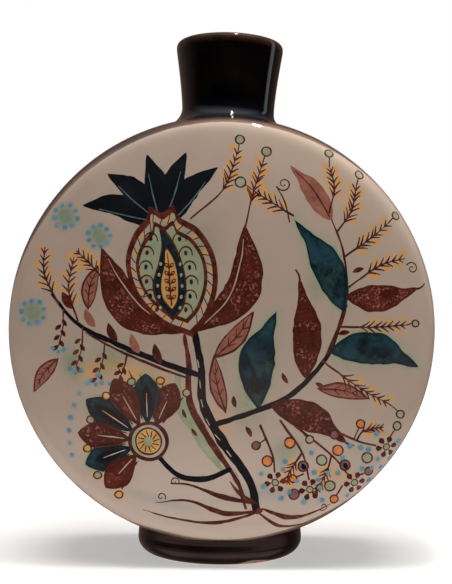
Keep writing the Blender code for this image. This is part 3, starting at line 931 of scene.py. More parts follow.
def half_body(name, side, painting, fine):
    loop = border(side) / MM
    extra = mesh_points(loop, painting.shapes, painting.softs, fine)
    pts, tris, mid, rim = flat_mesh(loop, painting.shapes, extra)
    used = np.zeros(len(pts), bool)
    used[tris.ravel()] = True
    number = np.cumsum(used) - 1
    pts, tris = pts[used], number[tris]
    rim = [int(number[i]) for i in rim]
    pigment, tone = colour_in(mid, painting.shapes)

    in_loop = border(side, True) / MM
    in_extra = hexes(SI_TAB[-1] / MM, 6.5)
    in_extra = in_extra[near(in_extra, in_loop, 9.0) > 2.5]
    in_extra = in_extra[inside_polygon(in_extra, in_loop)]
    in_pts, in_tris, _, in_rim = flat_mesh(in_loop, [], in_extra)

    n_out, n_in, n_rim = len(pts), len(in_pts), len(rim)
    verts = np.vstack([skin(pts * MM, side), skin(in_pts * MM, side, True)])
    faces = [tuple(t) for t in tris]
    faces += [tuple(n_out + t[::-1]) for t in in_tris]
    for k in range(n_rim):
        j = (k + 1) % n_rim
        faces.append((rim[j], rim[k], n_out + in_rim[k], n_out + in_rim[j]))
    obj = build_mesh(name, verts, faces)
    mesh = obj.data

    # pigments as material slots; the inside and the hidden edges share one
    slot_of = np.concatenate([pigment, np.full(len(in_tris) + n_rim,
                                               len(PIGMENTS))])
    mesh.polygons.foreach_set("material_index", slot_of.astype(np.int32))
    put_attribute(mesh, "tone", "FLOAT", "FACE", np.concatenate(
        [tone, np.full(len(in_tris) + n_rim, 0.5)]))

    # fields that the glaze reads
    ang = np.arctan2(pts[:, 1], pts[:, 0])
    band = np.clip(np.hypot(*pts.T) - band_edge(ang), -4, 6)
    put_attribute(mesh, "band", "FLOAT", "POINT",
                  np.concatenate([band, np.full(n_in, 6.0)]))
    lines = np.vstack([q for _, q, _ in painting.shapes])
    rim_d = near(pts, lines, 4.0)
    put_attribute(mesh, "rim", "FLOAT", "POINT",
                  np.concatenate([rim_d, np.zeros(n_in)]))
    teal = [q for nm, q, _ in painting.shapes if nm == "teal" and len(q) > 24]
    halo = np.exp(-near(pts, np.vstack(teal), 8.0) / 1.15)
    soft = soft_fields(pts, painting.softs)
    wash = np.zeros((n_out + n_in, 4))
    wash[:n_out] = soft[:, :4]
    put_attribute(mesh, "wash", "FLOAT_COLOR", "POINT", wash)
    more = np.zeros((n_out + n_in, 4))
    more[:n_out, 0], more[:n_out, 1] = soft[:, 4], halo
    more[:, 3] = 1.0
    put_attribute(mesh, "bleed", "FLOAT_COLOR", "POINT", more)

    # shading follows the true curved skin, not the triangles
    mesh.polygons.foreach_set("use_smooth", np.ones(len(faces), bool))
    n_outer = skin_normals(pts * MM, side)
    n_inner = skin_normals(in_pts * MM, side, True)
    both = np.vstack([n_outer, n_inner])
    loops = np.zeros(len(mesh.loops), np.int32)
    mesh.loops.foreach_get("vertex_index", loops)
    normals = both[loops]
    first_strip = 3 * (len(tris) + len(in_tris))
    fn = np.zeros(3 * len(mesh.polygons), np.float32)
    mesh.polygons.foreach_get("normal", fn)
    fn = fn.reshape(-1, 3)[-n_rim:]
    normals[first_strip:] = np.repeat(fn, 4, axis=0)
    mesh.normals_split_custom_set([tuple(map(float, n)) for n in normals])

    # flat map: the face keeps its scale, the plain side band is narrowed
    def unroll(q, length, centre, size):
        s = np.hypot(*q.T)
        flat = np.where(s < 88, s, 88 + (s - 88) * 0.22) if length is None else s
        full = 88 + (S_SEAM / MM - 88) * 0.22 if length is None else length
        return centre + q * (flat / np.maximum(s, 1e-9) / full * size)[:, None]

    uv_out = unroll(pts, None, np.array([0.5, 0.5]), 0.4975)
    corner = np.array([0.0855, 0.0855])
    uv_in = unroll(in_pts, SI_TAB[-1] / MM, corner, 0.071)
    uv_v = np.vstack([uv_out, uv_in])
    uv = uv_v[loops]
    turn = math.tau * np.arange(n_rim + 1) / n_rim
    circle = np.column_stack([np.cos(turn), np.sin(turn)])
    big, small = corner + 0.0840 * circle, corner + 0.0745 * circle
    strip = np.stack([big[1:], big[:-1], small[:-1], small[1:]], 1)
    uv[first_strip:] = strip.reshape(-1, 2)
    layer = mesh.uv_layers.new(name="OFBake")
    layer.data.foreach_set("uv", np.ascontiguousarray(uv, np.float32).ravel())
    print(name, "points", len(verts), "faces", len(faces))
    return obj


# ------------------------------------------------ turned pieces round an axis
def ring_mesh(name, rows, sharp=38):
    """A closed ring: rows[i][j] is point j round the turn on profile line i,
    and the last line joins the first."""
    rows = np.asarray(rows, float)
    m, n = rows.shape[:2]
    verts = rows.reshape(-1, 3)
    faces = []
    for i in range(m):
        k = (i + 1) % m
        for j in range(n):
            q = (j + 1) % n
            faces.append((i * n + j, i * n + q, k * n + q, k * n + j))
    a = verts[[f[0] for f in faces]]
    b = verts[[f[1] for f in faces]]
    c = verts[[f[2] for f in faces]]
    d = verts[[f[3] for f in faces]]
    volume = (np.einsum("ij,ij->i", a, np.cross(b, c)).sum()
              + np.einsum("ij,ij->i", a, np.cross(c, d)).sum())
    if volume < 0:
        faces = [f[::-1] for f in faces]
    obj = build_mesh(name, verts, faces)
    mesh = obj.data
    mesh.shade_smooth()
    mesh.set_sharp_from_angle(angle=math.radians(sharp))
    # map: once round across, once round the profile upwards
    lengths = np.linalg.norm(rows - np.roll(rows, -1, axis=0), axis=2).mean(1)
    v = np.concatenate([[0], np.cumsum(lengths)]) / lengths.sum()
    layer = mesh.uv_layers.new(name="OFBake")
    uv = np.zeros((len(faces), 4, 2))
    for i in range(m):
        for j in range(n):
            quad = [(j / n, v[i]), ((j + 1) / n, v[i]), ((j + 1) / n, v[i + 1]),
                    (j / n, v[i + 1])]
            if volume < 0:
                quad = quad[::-1]
            uv[i * n + j] = quad
    uv = 0.002 + 0.996 * uv
    layer.data.foreach_set("uv", np.ascontiguousarray(uv, np.float32).ravel())
    return obj


TURN = 180
PSI = np.linspace(0, math.tau, TURN, endpoint=False)
NECK_AXIS = np.array((Matrix.Translation((0, 0, CENTRE_Z))
                      @ Matrix.Rotation(LEAN, 4, "Y")))


def neck_outer_r(h):
    u = np.clip((h - NECK_LOW) / (NECK_HIGH - NECK_LOW), 0.0, 1.0)
    return NECK_BASE_R + (NECK_TOP_R - NECK_BASE_R) * u ** 1.3


def neck_row(radius, height):
    """One line round the collar, in world space."""
    r = np.broadcast_to(radius, PSI.shape)
    h = np.broadcast_to(height, PSI.shape)
    p = np.column_stack([r * np.cos(PSI), r * np.sin(PSI), h])
    return p @ NECK_AXIS[:3, :3].T + NECK_AXIS[:3, 3]


def crown_height(radius):
    """Height of the body's outside under a circle round the collar's axis."""
    x, t = radius * np.cos(PSI), np.abs(radius * np.sin(PSI))
    return np.sqrt(radius_at(t) ** 2 - x ** 2) - WAVE_IN


def lip_wave(size):
    return size * (np.sin(2 * PSI + 0.9) + 0.6 * np.sin(3 * PSI + 2.2)) / 1.6


def make_neck():
    rows, thin, pool_and_sheen = [], [], []

    def put(radius, height, edge=0.0, base=0.0):
        rows.append(neck_row(radius, height))
        thin.append(np.full(TURN, edge))
        pool_and_sheen.append(np.full(TURN, base))

    dip = lip_wave(0.05 * MM) - 0.05 * MM
    flare = lip_wave(0.06 * MM) - 0.03 * MM
    lip_low = LIP_TOP - LIP_CORNER
    crown = crown_height(NECK_BASE_R)
    put(NECK_BASE_R, crown - 0.35 * MM, 0, 1)
    for k, u in enumerate(np.linspace(0, 1, 30)):
        h = crown + 0.05 * MM + (lip_low - crown - 0.05 * MM) * u
        rise = np.clip((h - crown) / 0.0100, 0, 1)
        put(neck_outer_r(h) + flare * u, h + dip * u,
            max(0.0, 1 - (1 - u) / 0.07), 0.0)
        # pooled glaze and a painted bluish reflection, fading over the lowest centimetre of the collar
        pool_and_sheen[-1] = 1 - rise
    top_r = neck_outer_r(lip_low) + flare
    for a in np.linspace(0, math.pi / 2, 9)[1:]:
        put(top_r - LIP_CORNER * (1 - math.cos(a)),
            lip_low + dip + LIP_CORNER * math.sin(a), 1.0)
    inner_top = top_r - NECK_WALL
    for a in np.linspace(math.pi / 2, math.pi, 8):
        put(inner_top + LIP_CORNER * (1 + math.cos(a)),
            lip_low + dip + LIP_CORNER * math.sin(a), 0.8)
    for u in np.linspace(1, 0, 12)[1:]:
        h = crown + (lip_low - crown) * u
        put(np.maximum(neck_outer_r(h) - NECK_WALL, NECK_BORE_R) + flare * u, h,
            0.0)
    bore = crown_height(NECK_BORE_R)
    put(NECK_BORE_R, np.minimum(bore, crown) - 0.35 * MM)
    obj = ring_mesh("neck", rows)
    put_attribute(obj.data, "thin", "FLOAT", "POINT", np.concatenate(thin))
    put_attribute(obj.data, "pool_and_sheen", "FLOAT", "POINT", np.concatenate(pool_and_sheen))
    return obj


def make_neck_fillet():
    """The luted clay and pooled glaze that sweep the collar into the body."""
    rows, pool_and_sheen = [], []
    wall = NECK_BASE_R - 0.02 * MM
    low = crown_height(wall)
    size = (NECK_FILLET - FILLET_SKEW * np.cos(PSI)
            - FILLET_THIN * np.sin(PSI) ** 2 + 0.10 * MM * np.sin(3 * PSI + 0.5) + 0.07 * MM * np.sin(7 * PSI))
    for a in np.linspace(0, math.pi / 2, 22):
        r = wall + size * (1 - math.cos(a))
        rows.append(neck_row(r, crown_height(r) - 0.03 * MM
                             + size * (1 - math.sin(a))))
        # pooled glaze and a painted bluish reflection, strongest where the fillet meets the collar
        pool_and_sheen.append(np.full(TURN, 1.0 - 0.5 * (a / (math.pi / 2)) ** 2))
    far = wall + size
    rows.append(neck_row(far, crown_height(far) - 0.45 * MM))
    rows.append(neck_row(wall - 0.35 * MM, low - 0.45 * MM))
    rows.append(neck_row(wall - 0.35 * MM, low + size))
    pool_and_sheen += [np.full(TURN, 0.5)] * 3
    obj = ring_mesh("neck_fillet", rows)
    put_attribute(obj.data, "thin", "FLOAT", "POINT",
                  np.concatenate([np.zeros(TURN)] * len(rows)))
    put_attribute(obj.data, "pool_and_sheen", "FLOAT", "POINT", np.concatenate(pool_and_sheen))
    return obj


def foot_row(radius, height):
    r = np.broadcast_to(radius, PSI.shape)
    h = np.broadcast_to(height, PSI.shape)
    return np.column_stack([r * np.cos(PSI),
                            (r - (FOOT_RX - FOOT_RY)) * np.sin(PSI), h])


def belly(radius):
    """Height of the body's underside over an oval of the foot."""
    p = foot_row(radius, 0.0)
    return CENTRE_Z - np.sqrt(radius_at(np.abs(p[:, 1])) ** 2
                              - p[:, 0] ** 2) + WAVE_IN


def foot_pull(height):
    """How far the wall of the foot leans in above its widest line: at once
    and steeply on the left of the front, evenly and less elsewhere."""
    t = np.maximum(np.broadcast_to(height, PSI.shape) - FOOT_BULGE_Z, 0.0)
    turn = np.degrees(PSI) % 360
    left = np.clip((turn - 192) / 22, 0, 1) * np.clip((302 - turn) / 30, 0, 1)
    left = left * left * (3 - 2 * left)
    steep = 0.20 * np.minimum(t, 2.1 * MM) + 0.045 * np.maximum(t - 2.1 * MM, 0)
    return left * steep + (1 - left) * 0.060 * t


def make_foot():
    rows, pool_and_sheen = [], []
    stand_out = FOOT_RX - FOOT_ROUND
    stand_in = stand_out - FOOT_FLAT
    swell = 0.10 * MM * (np.sin(2 * PSI + 1.0) + 0.7 * np.sin(3 * PSI)) \
        - 0.12 * MM
    for r in np.linspace(stand_in, stand_out, 5)[:-1]:
        rows.append(foot_row(r, 0.0))
    for a in np.linspace(math.pi / 2, 0, 22):
        f = math.cos(a)
        rows.append(foot_row(FOOT_RX - FOOT_ROUND * (1 - f) + swell * f,
                             FOOT_BULGE_Z * (1 - math.sin(a))))
    waist = FOOT_RX + swell - foot_pull(12.2 * MM)
    top = belly(waist)
    for u in np.linspace(0, 1, 14)[1:]:
        h = FOOT_BULGE_Z + (top - 0.9 * MM - FOOT_BULGE_Z) * u
        rows.append(foot_row(FOOT_RX + swell - foot_pull(h), h))
    for out, up in [(0.10, -0.50), (0.30, -0.22), (0.62, -0.04), (1.05, 0.10)]:
        r = waist + out * MM
        rows.append(foot_row(r, belly(r) + up * MM))
    r = waist + 0.7 * MM
    rows.append(foot_row(r, belly(r) + 0.9 * MM))
    inner = stand_in - 1.2 * MM
    rows.append(foot_row(inner, belly(inner) + 0.9 * MM))
    for u in np.linspace(1, 0, 5):
        rows.append(foot_row(inner, 3.0 * MM + (belly(inner) - 3.0 * MM) * u))
    rows.append(foot_row(stand_in - 1.05 * MM, 1.8 * MM))
    rows.append(foot_row(stand_in - 0.7 * MM, 0.9 * MM))
    rows.append(foot_row(stand_in - 0.3 * MM, 0.3 * MM))
    obj = ring_mesh("foot", rows, 50)
    return obj


def make_foot_fillet():
    stand_in = FOOT_RX - FOOT_ROUND - FOOT_FLAT
    wall = stand_in - 1.2 * MM
    far = wall - 6.0 * MM
    low, high = belly(wall), belly(far)
    rows = []
    for u in np.linspace(0, 1, 14):
        r = (1 - u) ** 2 * (wall + 0.02 * MM) + 2 * u * (1 - u) * wall + u * u * far
        h = ((1 - u) ** 2 * (low - 4.0 * MM) + 2 * u * (1 - u) * (low - 0.5 * MM)
             + u * u * (high + 0.03 * MM))
        rows.append(foot_row(r, h))
    rows.append(foot_row(far, high + 0.5 * MM))
    rows.append(foot_row(wall + 0.3 * MM, low + 0.5 * MM))
    rows.append(foot_row(wall + 0.3 * MM, low - 4.0 * MM))
    obj = ring_mesh("foot_fillet", rows)
    for key, value in (("thin", 0.0), ("pool_and_sheen", 0.35)):
        put_attribute(obj.data, key, "FLOAT", "POINT",
                      np.full(len(obj.data.vertices), value))
    return obj


# ------------------------------------------------------------------ materials
class Nodes:
    """Short names for building a shader."""

    def __init__(self, name):
        self.mat = bpy.data.materials.new(name)
        self.mat.use_nodes = True
        self.tree = self.mat.node_tree
        self.bsdf = self.tree.nodes["Principled BSDF"]
        self.where = self.tree.nodes.new("ShaderNodeTexCoord").outputs["Object"]

    def new(self, kind, **sockets):
        node = self.tree.nodes.new(kind)
        for key, value in sockets.items():
            key = key.replace("_", " ")
            if hasattr(value, "is_output"):
                self.tree.links.new(value, node.inputs[key])
            else:
                node.inputs[key].default_value = value
        return node

    def noise(self, scale, detail=3.0, rough=0.5, warp=0.0):
        n = self.new("ShaderNodeTexNoise", Vector=self.where, Scale=scale,
                     Detail=detail, Roughness=rough, Distortion=warp)
        return n.outputs["Fac"]

    def math(self, op, a, b=0.0, c=0.0):
        n = self.tree.nodes.new("ShaderNodeMath")
        n.operation = op
        for i, v in enumerate((a, b, c)):
            if hasattr(v, "is_output"):
                self.tree.links.new(v, n.inputs[i])
            else:
                n.inputs[i].default_value = v
        return n.outputs[0]

    def span(self, value, low, high, to_low=0.0, to_high=1.0, smooth=True):
        n = self.tree.nodes.new("ShaderNodeMapRange")
        n.interpolation_type = "SMOOTHSTEP" if smooth else "LINEAR"
        self.tree.links.new(value, n.inputs["Value"])
        n.inputs["From Min"].default_value = low
        n.inputs["From Max"].default_value = high
        n.inputs["To Min"].default_value = to_low
        n.inputs["To Max"].default_value = to_high
        return n.outputs["Result"]

    def mix(self, fac, a, b):
        n = self.tree.nodes.new("ShaderNodeMix")
        n.data_type = "RGBA"
        for i, v in ((0, fac), (6, a), (7, b)):
            if hasattr(v, "is_output"):
                self.tree.links.new(v, n.inputs[i])
            else:
                n.inputs[i].default_value = v if i == 0 else (*v, 1.0)
        return n.outputs[2]

    def field(self, name, part=None):
        n = self.tree.nodes.new("ShaderNodeAttribute")
        n.attribute_name = name
        if part is None:
            return n.outputs["Fac"]
        if part == 3:
            return n.outputs["Alpha"]
        sep = self.new("ShaderNodeSeparateColor", Color=n.outputs["Color"])
        return sep.outputs[part]

    def bump(self, height, distance, strength=1.0, base=None):
        n = self.new("ShaderNodeBump", Height=height, Distance=distance,
                     Strength=strength)
        if base is not None:
            self.tree.links.new(base, n.inputs["Normal"])
        return n.outputs["Normal"]

    def done(self, colour, rough, normal, ior=1.5):
        link = self.tree.links.new
        link(colour, self.bsdf.inputs["Base Color"])
        link(rough, self.bsdf.inputs["Roughness"])
        link(normal, self.bsdf.inputs["Normal"])
        self.bsdf.inputs["IOR"].default_value = ior
        return self.mat


CREAM_A = (0.403, 0.309, 0.250)
CREAM_B = (0.376, 0.297, 0.241)
CREAM_PINK = (0.423, 0.308, 0.252)
# cream with painted shade in it
CREAM_PAINTED_SHADE = (0.312, 0.238, 0.193)
# paler cream: partly a paler glaze, partly painted light
CREAM_LOW_PALE_AND_LIT = (0.419, 0.340, 0.284)
CREAM_HIGH_PALE_AND_LIT = (0.436, 0.338, 0.262)
BROWN_DARK = (0.0013, 0.0008, 0.0010)
BROWN_MID = (0.0050, 0.0023, 0.0019)
BROWN_THIN = (0.040, 0.0160, 0.0095)
FOOT_DARK = (0.0062, 0.0034, 0.0034)
FOOT_MID = (0.0150, 0.0078, 0.0070)
BAND_THIN = (0.175, 0.108, 0.080)
BAND_MID = (0.066, 0.037, 0.027)


def glaze_relief(n, soft=1.0):
    """Long gentle undulation and a fine orange-peel skin."""
    slow = n.bump(n.noise(34.0, 1.5, 0.4), 0.00022 * soft)
    return n.bump(n.noise(520.0, 1.0, 0.4), 0.000006, 1.0, slow)


def cream_ground(n):
    """Cream glaze with its cloudy mottle, specks and soft washes, and painted light and shade by place."""
    base = n.mix(n.span(n.noise(95.0, 3.0, 0.55), 0.34, 0.68), CREAM_A, CREAM_B)
    base = n.mix(n.math("MULTIPLY", n.span(n.noise(48.0, 2.0, 0.5, 0.4), 0.50, 0.74), 0.7),
                 base, CREAM_PINK)
    # painted shade: the cream is darker over the middle of a face
    xyz = n.new("ShaderNodeSeparateXYZ", Vector=n.where)
    x, _, z = xyz.outputs
    z = n.math("SUBTRACT", z, CENTRE_Z)
    out = n.math("MULTIPLY", n.math("ADD", n.math("MULTIPLY", x, x),
                                    n.math("MULTIPLY", z, z)), 1 / BODY_R ** 2)
    base = n.mix(n.span(out, 0.0, 1.0, 0.50, 0.0, False), base, CREAM_PAINTED_SHADE)
    # paler towards the foot and over the upper right shoulder: partly a thinner, paler glaze, partly painted
    # light
    base = n.mix(n.span(z, -0.032, -0.056, 0.0, 0.62), base, CREAM_LOW_PALE_AND_LIT)
    slant = n.math("ADD", n.math("MULTIPLY", x, 0.5), n.math("MULTIPLY", z, 0.87))
    high = n.span(slant, 0.060, 0.077)
    rim = n.span(out, 0.84, 0.97)
    base = n.mix(n.math("MULTIPLY", high, n.span(out, 0.82, 0.97, 0.55, 0.0)), base,
                 CREAM_HIGH_PALE_AND_LIT)
    # painted shade: darker just inside the rim over the upper right shoulder
    base = n.mix(n.math("MULTIPLY", n.math("MULTIPLY", high, rim), 0.42), base,
                 CREAM_PAINTED_SHADE)
    # painted shade: darker near the rim towards the bottom, left of the middle
    low = n.math("MULTIPLY", n.span(z, -0.056, -0.076), n.span(x, 0.020, -0.005))
    base = n.mix(n.math("MULTIPLY", n.math("MULTIPLY", low, rim), 0.75), base,
                 CREAM_PAINTED_SHADE)
    # painted shade: darker towards both sides, around and below middle height
    aside = n.span(n.math("ABSOLUTE", x), 0.034, 0.064)
    level = n.math("MULTIPLY", n.span(z, -0.044, -0.024), n.span(slant, 0.034, 0.014))
    base = n.mix(n.math("MULTIPLY", n.math("MULTIPLY", aside, level), 0.36), base,
                 CREAM_PAINTED_SHADE)
    # grains that show through the glaze
    cells = n.new("ShaderNodeTexVoronoi", Vector=n.where, Scale=260.0)
    dot = n.span(cells.outputs["Distance"], 0.045, 0.085, 1.0, 0.0)
    pick = n.new("ShaderNodeSeparateColor", Color=cells.outputs["Color"])
    rare = n.math("GREATER_THAN", pick.outputs[0], 0.955)
    base = n.mix(n.math("MULTIPLY", n.math("MULTIPLY", dot, rare), 0.65), base,
                 (0.17, 0.085, 0.045))
    faint = n.span(n.noise(900.0, 2.0, 0.6), 0.62, 0.80)
    base = n.mix(n.math("MULTIPLY", faint, 0.10), base, (0.25, 0.16, 0.11))
    # watercolour washes that lie under the drawing
    cloud = n.span(n.noise(210.0, 4.0, 0.6), 0.25, 0.75, 0.62, 1.12)
    for name, part, tint, most in [
            ("wash", 3, (0.245, 0.205, 0.150), 0.85),
            ("wash", 0, (0.140, 0.205, 0.115), 0.97),
            ("bleed", 0, (0.42, 0.250, 0.195), 0.65),
            ("wash", 2, (0.130, 0.215, 0.225), 0.80),
            ("wash", 1, (0.540, 0.265, 0.060), 1.00),
            ("bleed", 1, (0.225, 0.275, 0.175), 0.95)]:
        amount = n.math("MULTIPLY", n.math("MULTIPLY", n.field(name, part), most),
                        cloud)
        n_amount = n.math("MINIMUM", amount, 1.0)
        base = n.mix(n_amount, base, tint)
    return base


def cream_glaze():
    n = Nodes("cream_glaze")
    base = cream_ground(n)
    # the brown of the side, thin and red where it starts
    reach = n.math("ADD", n.field("band"), n.math(
        "MULTIPLY", n.math("SUBTRACT", n.noise(420.0, 3.0, 0.6), 0.5), 0.55))
    deep = n.mix(n.span(n.noise(75.0, 3.0), 0.35, 0.7), BROWN_DARK, BROWN_MID)
    brown = n.mix(n.span(reach, 0.1, 2.6), BAND_THIN, BAND_MID)
    xyz = n.new("ShaderNodeSeparateXYZ", Vector=n.where)
    shoulder = n.math("MULTIPLY", n.span(xyz.outputs[0], 0.004, -0.030),
                      n.span(xyz.outputs[2], 0.158, 0.176))
    brown = n.mix(n.math("MULTIPLY", shoulder, 0.75), brown, (0.040, 0.021, 0.016))
    brown = n.mix(n.span(reach, 2.0, 6.0), brown, deep)
    base = n.mix(n.span(reach, -0.20, 0.22), base, brown)
    rough = n.span(n.noise(60.0, 2.0), 0.3, 0.7, 0.050, 0.085)
    return n.done(base, rough, glaze_relief(n))


def paint_glaze(name, dark, light, scale, low, high, cover=1.0, rim_dark=0.0,
                vary=0.25, fleck=None):
    """Pigment under the glaze: brushed, cloudy, and pooled at its outline."""
    n = Nodes(name)
    ground = cream_ground(n)
    grain = n.noise(scale, 5.0, 0.62, 0.3)
    fac = n.span(grain, low, high)
    tone = n.field("tone")
    fac = n.math("MULTIPLY", fac, n.span(tone, 0.0, 1.0, 1.0 - vary, 1.0 + vary,
                                         False))
    edge = n.span(n.field("rim"), 0.0, 1.7)
    if rim_dark:
        fac = n.math("MULTIPLY", fac, n.span(edge, 0.0, 1.0, 1.0 - rim_dark,
                                             1.0, False))
    paint = n.mix(n.math("MINIMUM", fac, 1.0), dark, light)
    if fleck:
        tint, size, least, strength = fleck
        spots = n.span(n.noise(size, 3.0, 0.7), least, least + 0.10)
        patch = n.span(n.noise(120.0, 2.0, 0.5, 0.5), 0.42, 0.58, 0.10, 1.0)
        spots = n.math("MULTIPLY", n.math("MULTIPLY", spots, edge), strength)
        spots = n.math("MULTIPLY", spots, patch)
        paint = n.mix(spots, paint, tint)
    body = n.span(n.noise(640.0, 3.0, 0.6), 0.28, 0.72, min(1.0, cover - 0.07),
                  min(1.0, cover + 0.05))
    colour = n.mix(body, ground, paint)
    rough = n.span(n.noise(90.0, 2.0), 0.3, 0.7, 0.055, 0.10)
    return n.done(colour, rough, glaze_relief(n))


def brown_glaze(name):
    n = Nodes(name)
    base = n.mix(n.span(n.noise(70.0, 4.0, 0.6), 0.36, 0.72), BROWN_DARK, BROWN_MID)
    runs = n.new("ShaderNodeMapping", Vector=n.where)
    runs.inputs["Scale"].default_value = (1.0, 1.0, 0.12)
    streak = n.new("ShaderNodeTexNoise", Vector=runs.outputs[0], Scale=260.0,
                   Detail=3.0, Roughness=0.6)
    base = n.mix(n.span(streak.outputs["Fac"], 0.52, 0.78, 0.0, 0.45), base,
                 (0.0090, 0.0036, 0.0028))
    # bluish low on the collar and in its fillet: partly glaze pooled thick, partly a painted bluish reflection
    base = n.mix(n.math("MULTIPLY", n.field("pool_and_sheen"), 0.9), base,
                 (0.0028, 0.0028, 0.0058))
    thin = n.math("MULTIPLY", n.field("thin"),
                  n.span(n.noise(180.0, 3.0), 0.3, 0.7, 0.45, 1.0))
    base = n.mix(thin, base, BROWN_THIN)
    rough = n.span(n.noise(60.0, 2.0), 0.3, 0.7, 0.065, 0.100)
    return n.done(base, rough, glaze_relief(n, 0.8))


def foot_glaze():
    """Brown glaze down to an uneven line, bare clay where the foot stands."""
    n = Nodes("foot_glaze")
    xyz = n.new("ShaderNodeSeparateXYZ", Vector=n.where)
    x, y, z = xyz.outputs
    base = n.mix(n.span(n.noise(70.0, 4.0, 0.6), 0.36, 0.72), FOOT_DARK, FOOT_MID)
    dx = n.math("MULTIPLY", n.math("SUBTRACT", x, 0.0150), 1 / 0.0085)
    dome = n.math("SUBTRACT", 1.0, n.math("MULTIPLY", dx, dx))
    front = n.span(y, -0.012, -0.016)
    lift = n.math("MULTIPLY", n.math("MAXIMUM", dome, 0.0), front)
    line = n.math("ADD", n.math("MULTIPLY", lift, 0.00195),
                  n.math("MULTIPLY", n.noise(95.0, 3.0, 0.6), 0.0007))
    above = n.math("SUBTRACT", z, line)
    clay = n.mix(n.span(n.noise(420.0, 4.0, 0.65), 0.3, 0.7),
                 (0.330, 0.180, 0.105), (0.450, 0.275, 0.175))
    edge = n.mix(n.span(above, 0.0, 0.0009), (0.034, 0.016, 0.011), base)
    cover = n.span(above, -0.00008, 0.00016)
    colour = n.mix(cover, clay, edge)
    rough = n.math("ADD", n.math("MULTIPLY", cover, -0.67), n.span(
        n.noise(60.0, 2.0), 0.3, 0.7, 0.775, 0.80))
    grit = n.math("MULTIPLY", n.noise(1500.0, 2.0), n.math("SUBTRACT", 1.0, cover))
    normal = n.bump(grit, 0.00008, 1.0, glaze_relief(n, 0.8))
    return n.done(colour, rough, normal)


def inside_glaze():
    n = Nodes("inside_glaze")
    base = n.mix(n.span(n.noise(60.0, 4.0, 0.6), 0.35, 0.7),
                 (0.017, 0.0075, 0.0055), (0.052, 0.024, 0.015))
    rough = n.span(n.noise(70.0, 2.0), 0.3, 0.7, 0.10, 0.20)
    return n.done(base, rough, glaze_relief(n, 1.6))


def coil_clay():
    n = Nodes("coil_clay")
    base = n.mix(n.span(n.noise(300.0, 4.0, 0.65), 0.3, 0.7),
                 (0.23, 0.12, 0.07), (0.34, 0.20, 0.12))
    rough = n.span(n.noise(200.0, 2.0), 0.3, 0.7, 0.70, 0.85)
    return n.done(base, rough, n.bump(n.noise(900.0, 3.0), 0.0002))


def pale_floor():
    n = Nodes("studio_floor")
    base = n.mix(n.span(n.noise(3.0, 3.0), 0.3, 0.7), (0.64, 0.638, 0.632),
                 (0.66, 0.658, 0.652))
    rough = n.span(n.noise(40.0, 2.0), 0.3, 0.7, 0.72, 0.80)
    made = n.done(base, rough, n.bump(n.noise(300.0, 2.0), 0.0002, 0.3))
    # lit softly from below, as a light table is
    shader = next(k for k in made.node_tree.nodes
                  if k.bl_idname == "ShaderNodeBsdfPrincipled")
    shader.inputs["Emission Color"].default_value = (1.0, 0.995, 0.985, 1.0)
    shader.inputs["Emission Strength"].default_value = 0.42
    return made


def paints():
    return [
        cream_glaze(),
        paint_glaze("iron_line", (0.040, 0.0075, 0.0055), (0.118, 0.0240, 0.0155),
                    330.0, 0.36, 0.74, 1.05, 0.0, 0.5),
        paint_glaze("russet_petal", (0.046, 0.0090, 0.0062), (0.098, 0.0190, 0.0130),
                    150.0, 0.34, 0.72, 1.08, 0.45, 0.30,
                    ((0.290, 0.112, 0.080), 880.0, 0.515, 0.90)),
        paint_glaze("black_brush", (0.0060, 0.0060, 0.0080), (0.0115, 0.0112, 0.0140),
                    120.0, 0.40, 0.85, 1.08, 0.0, 0.25),
        paint_glaze("teal_petal", (0.0050, 0.0110, 0.0140), (0.0150, 0.0430, 0.0570),
                    95.0, 0.34, 0.66, 1.08, 0.75, 0.25,
                    ((0.0300, 0.0560, 0.0440), 260.0, 0.52, 0.60)),
        paint_glaze("teal_line", (0.020, 0.060, 0.078), (0.050, 0.120, 0.135),
                    300.0, 0.35, 0.70, 0.90, 0.0, 0.3),
        paint_glaze("celadon", (0.205, 0.232, 0.140), (0.300, 0.312, 0.205),
                    140.0, 0.30, 0.70, 0.94, 0.20, 0.3),
        paint_glaze("ochre", (0.400, 0.205, 0.050), (0.560, 0.330, 0.105),
                    220.0, 0.30, 0.70, 0.92, 0.20, 0.3),
        paint_glaze("orange", (0.430, 0.115, 0.025), (0.620, 0.230, 0.060),
                    260.0, 0.30, 0.70, 0.95, 0.25, 0.4),
        paint_glaze("light_blue", (0.050, 0.165, 0.235), (0.115, 0.265, 0.330),
                    420.0, 0.30, 0.70, 0.92, 0.0, 0.45),
        paint_glaze("mauve", (0.085, 0.040, 0.046), (0.190, 0.100, 0.090),
                    260.0, 0.30, 0.70, 0.93, 0.25, 0.4),
        paint_glaze("pink_brown", (0.190, 0.056, 0.036), (0.290, 0.100, 0.066),
                    300.0, 0.34, 0.70, 0.93, 0.45, 0.3,
                    ((0.105, 0.032, 0.021), 620.0, 0.58, 0.5)),
        inside_glaze(),
    ]


# ----------------------------------------------------------------- the pieces
colours = paints()
front = half_body("front_body", -1, paint_front(), 1.25)
back = half_body("back_body", 1, paint_back(), 1.5)
for half, node in ((front, "front_dish"), (back, "back_dish")):
    for m in colours:
        half.data.materials.append(m)
    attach(half, "root")
    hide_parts(node)

brown = brown_glaze("brown_glaze")
clay = coil_clay()
neck = make_neck()
neck_fillet = make_neck_fillet()
foot = make_foot()
foot_fillet = make_foot_fillet()
for piece, node, mat in ((neck, "neck_collar", brown),
                         (neck_fillet, "neck_joint_fillet", brown),
                         (foot, "foot_ring", foot_glaze()),
                         (foot_fillet, "foot_joint_fillet", clay)):
    piece.data.materials.append(mat)
    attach(piece, "root")
    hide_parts(node)

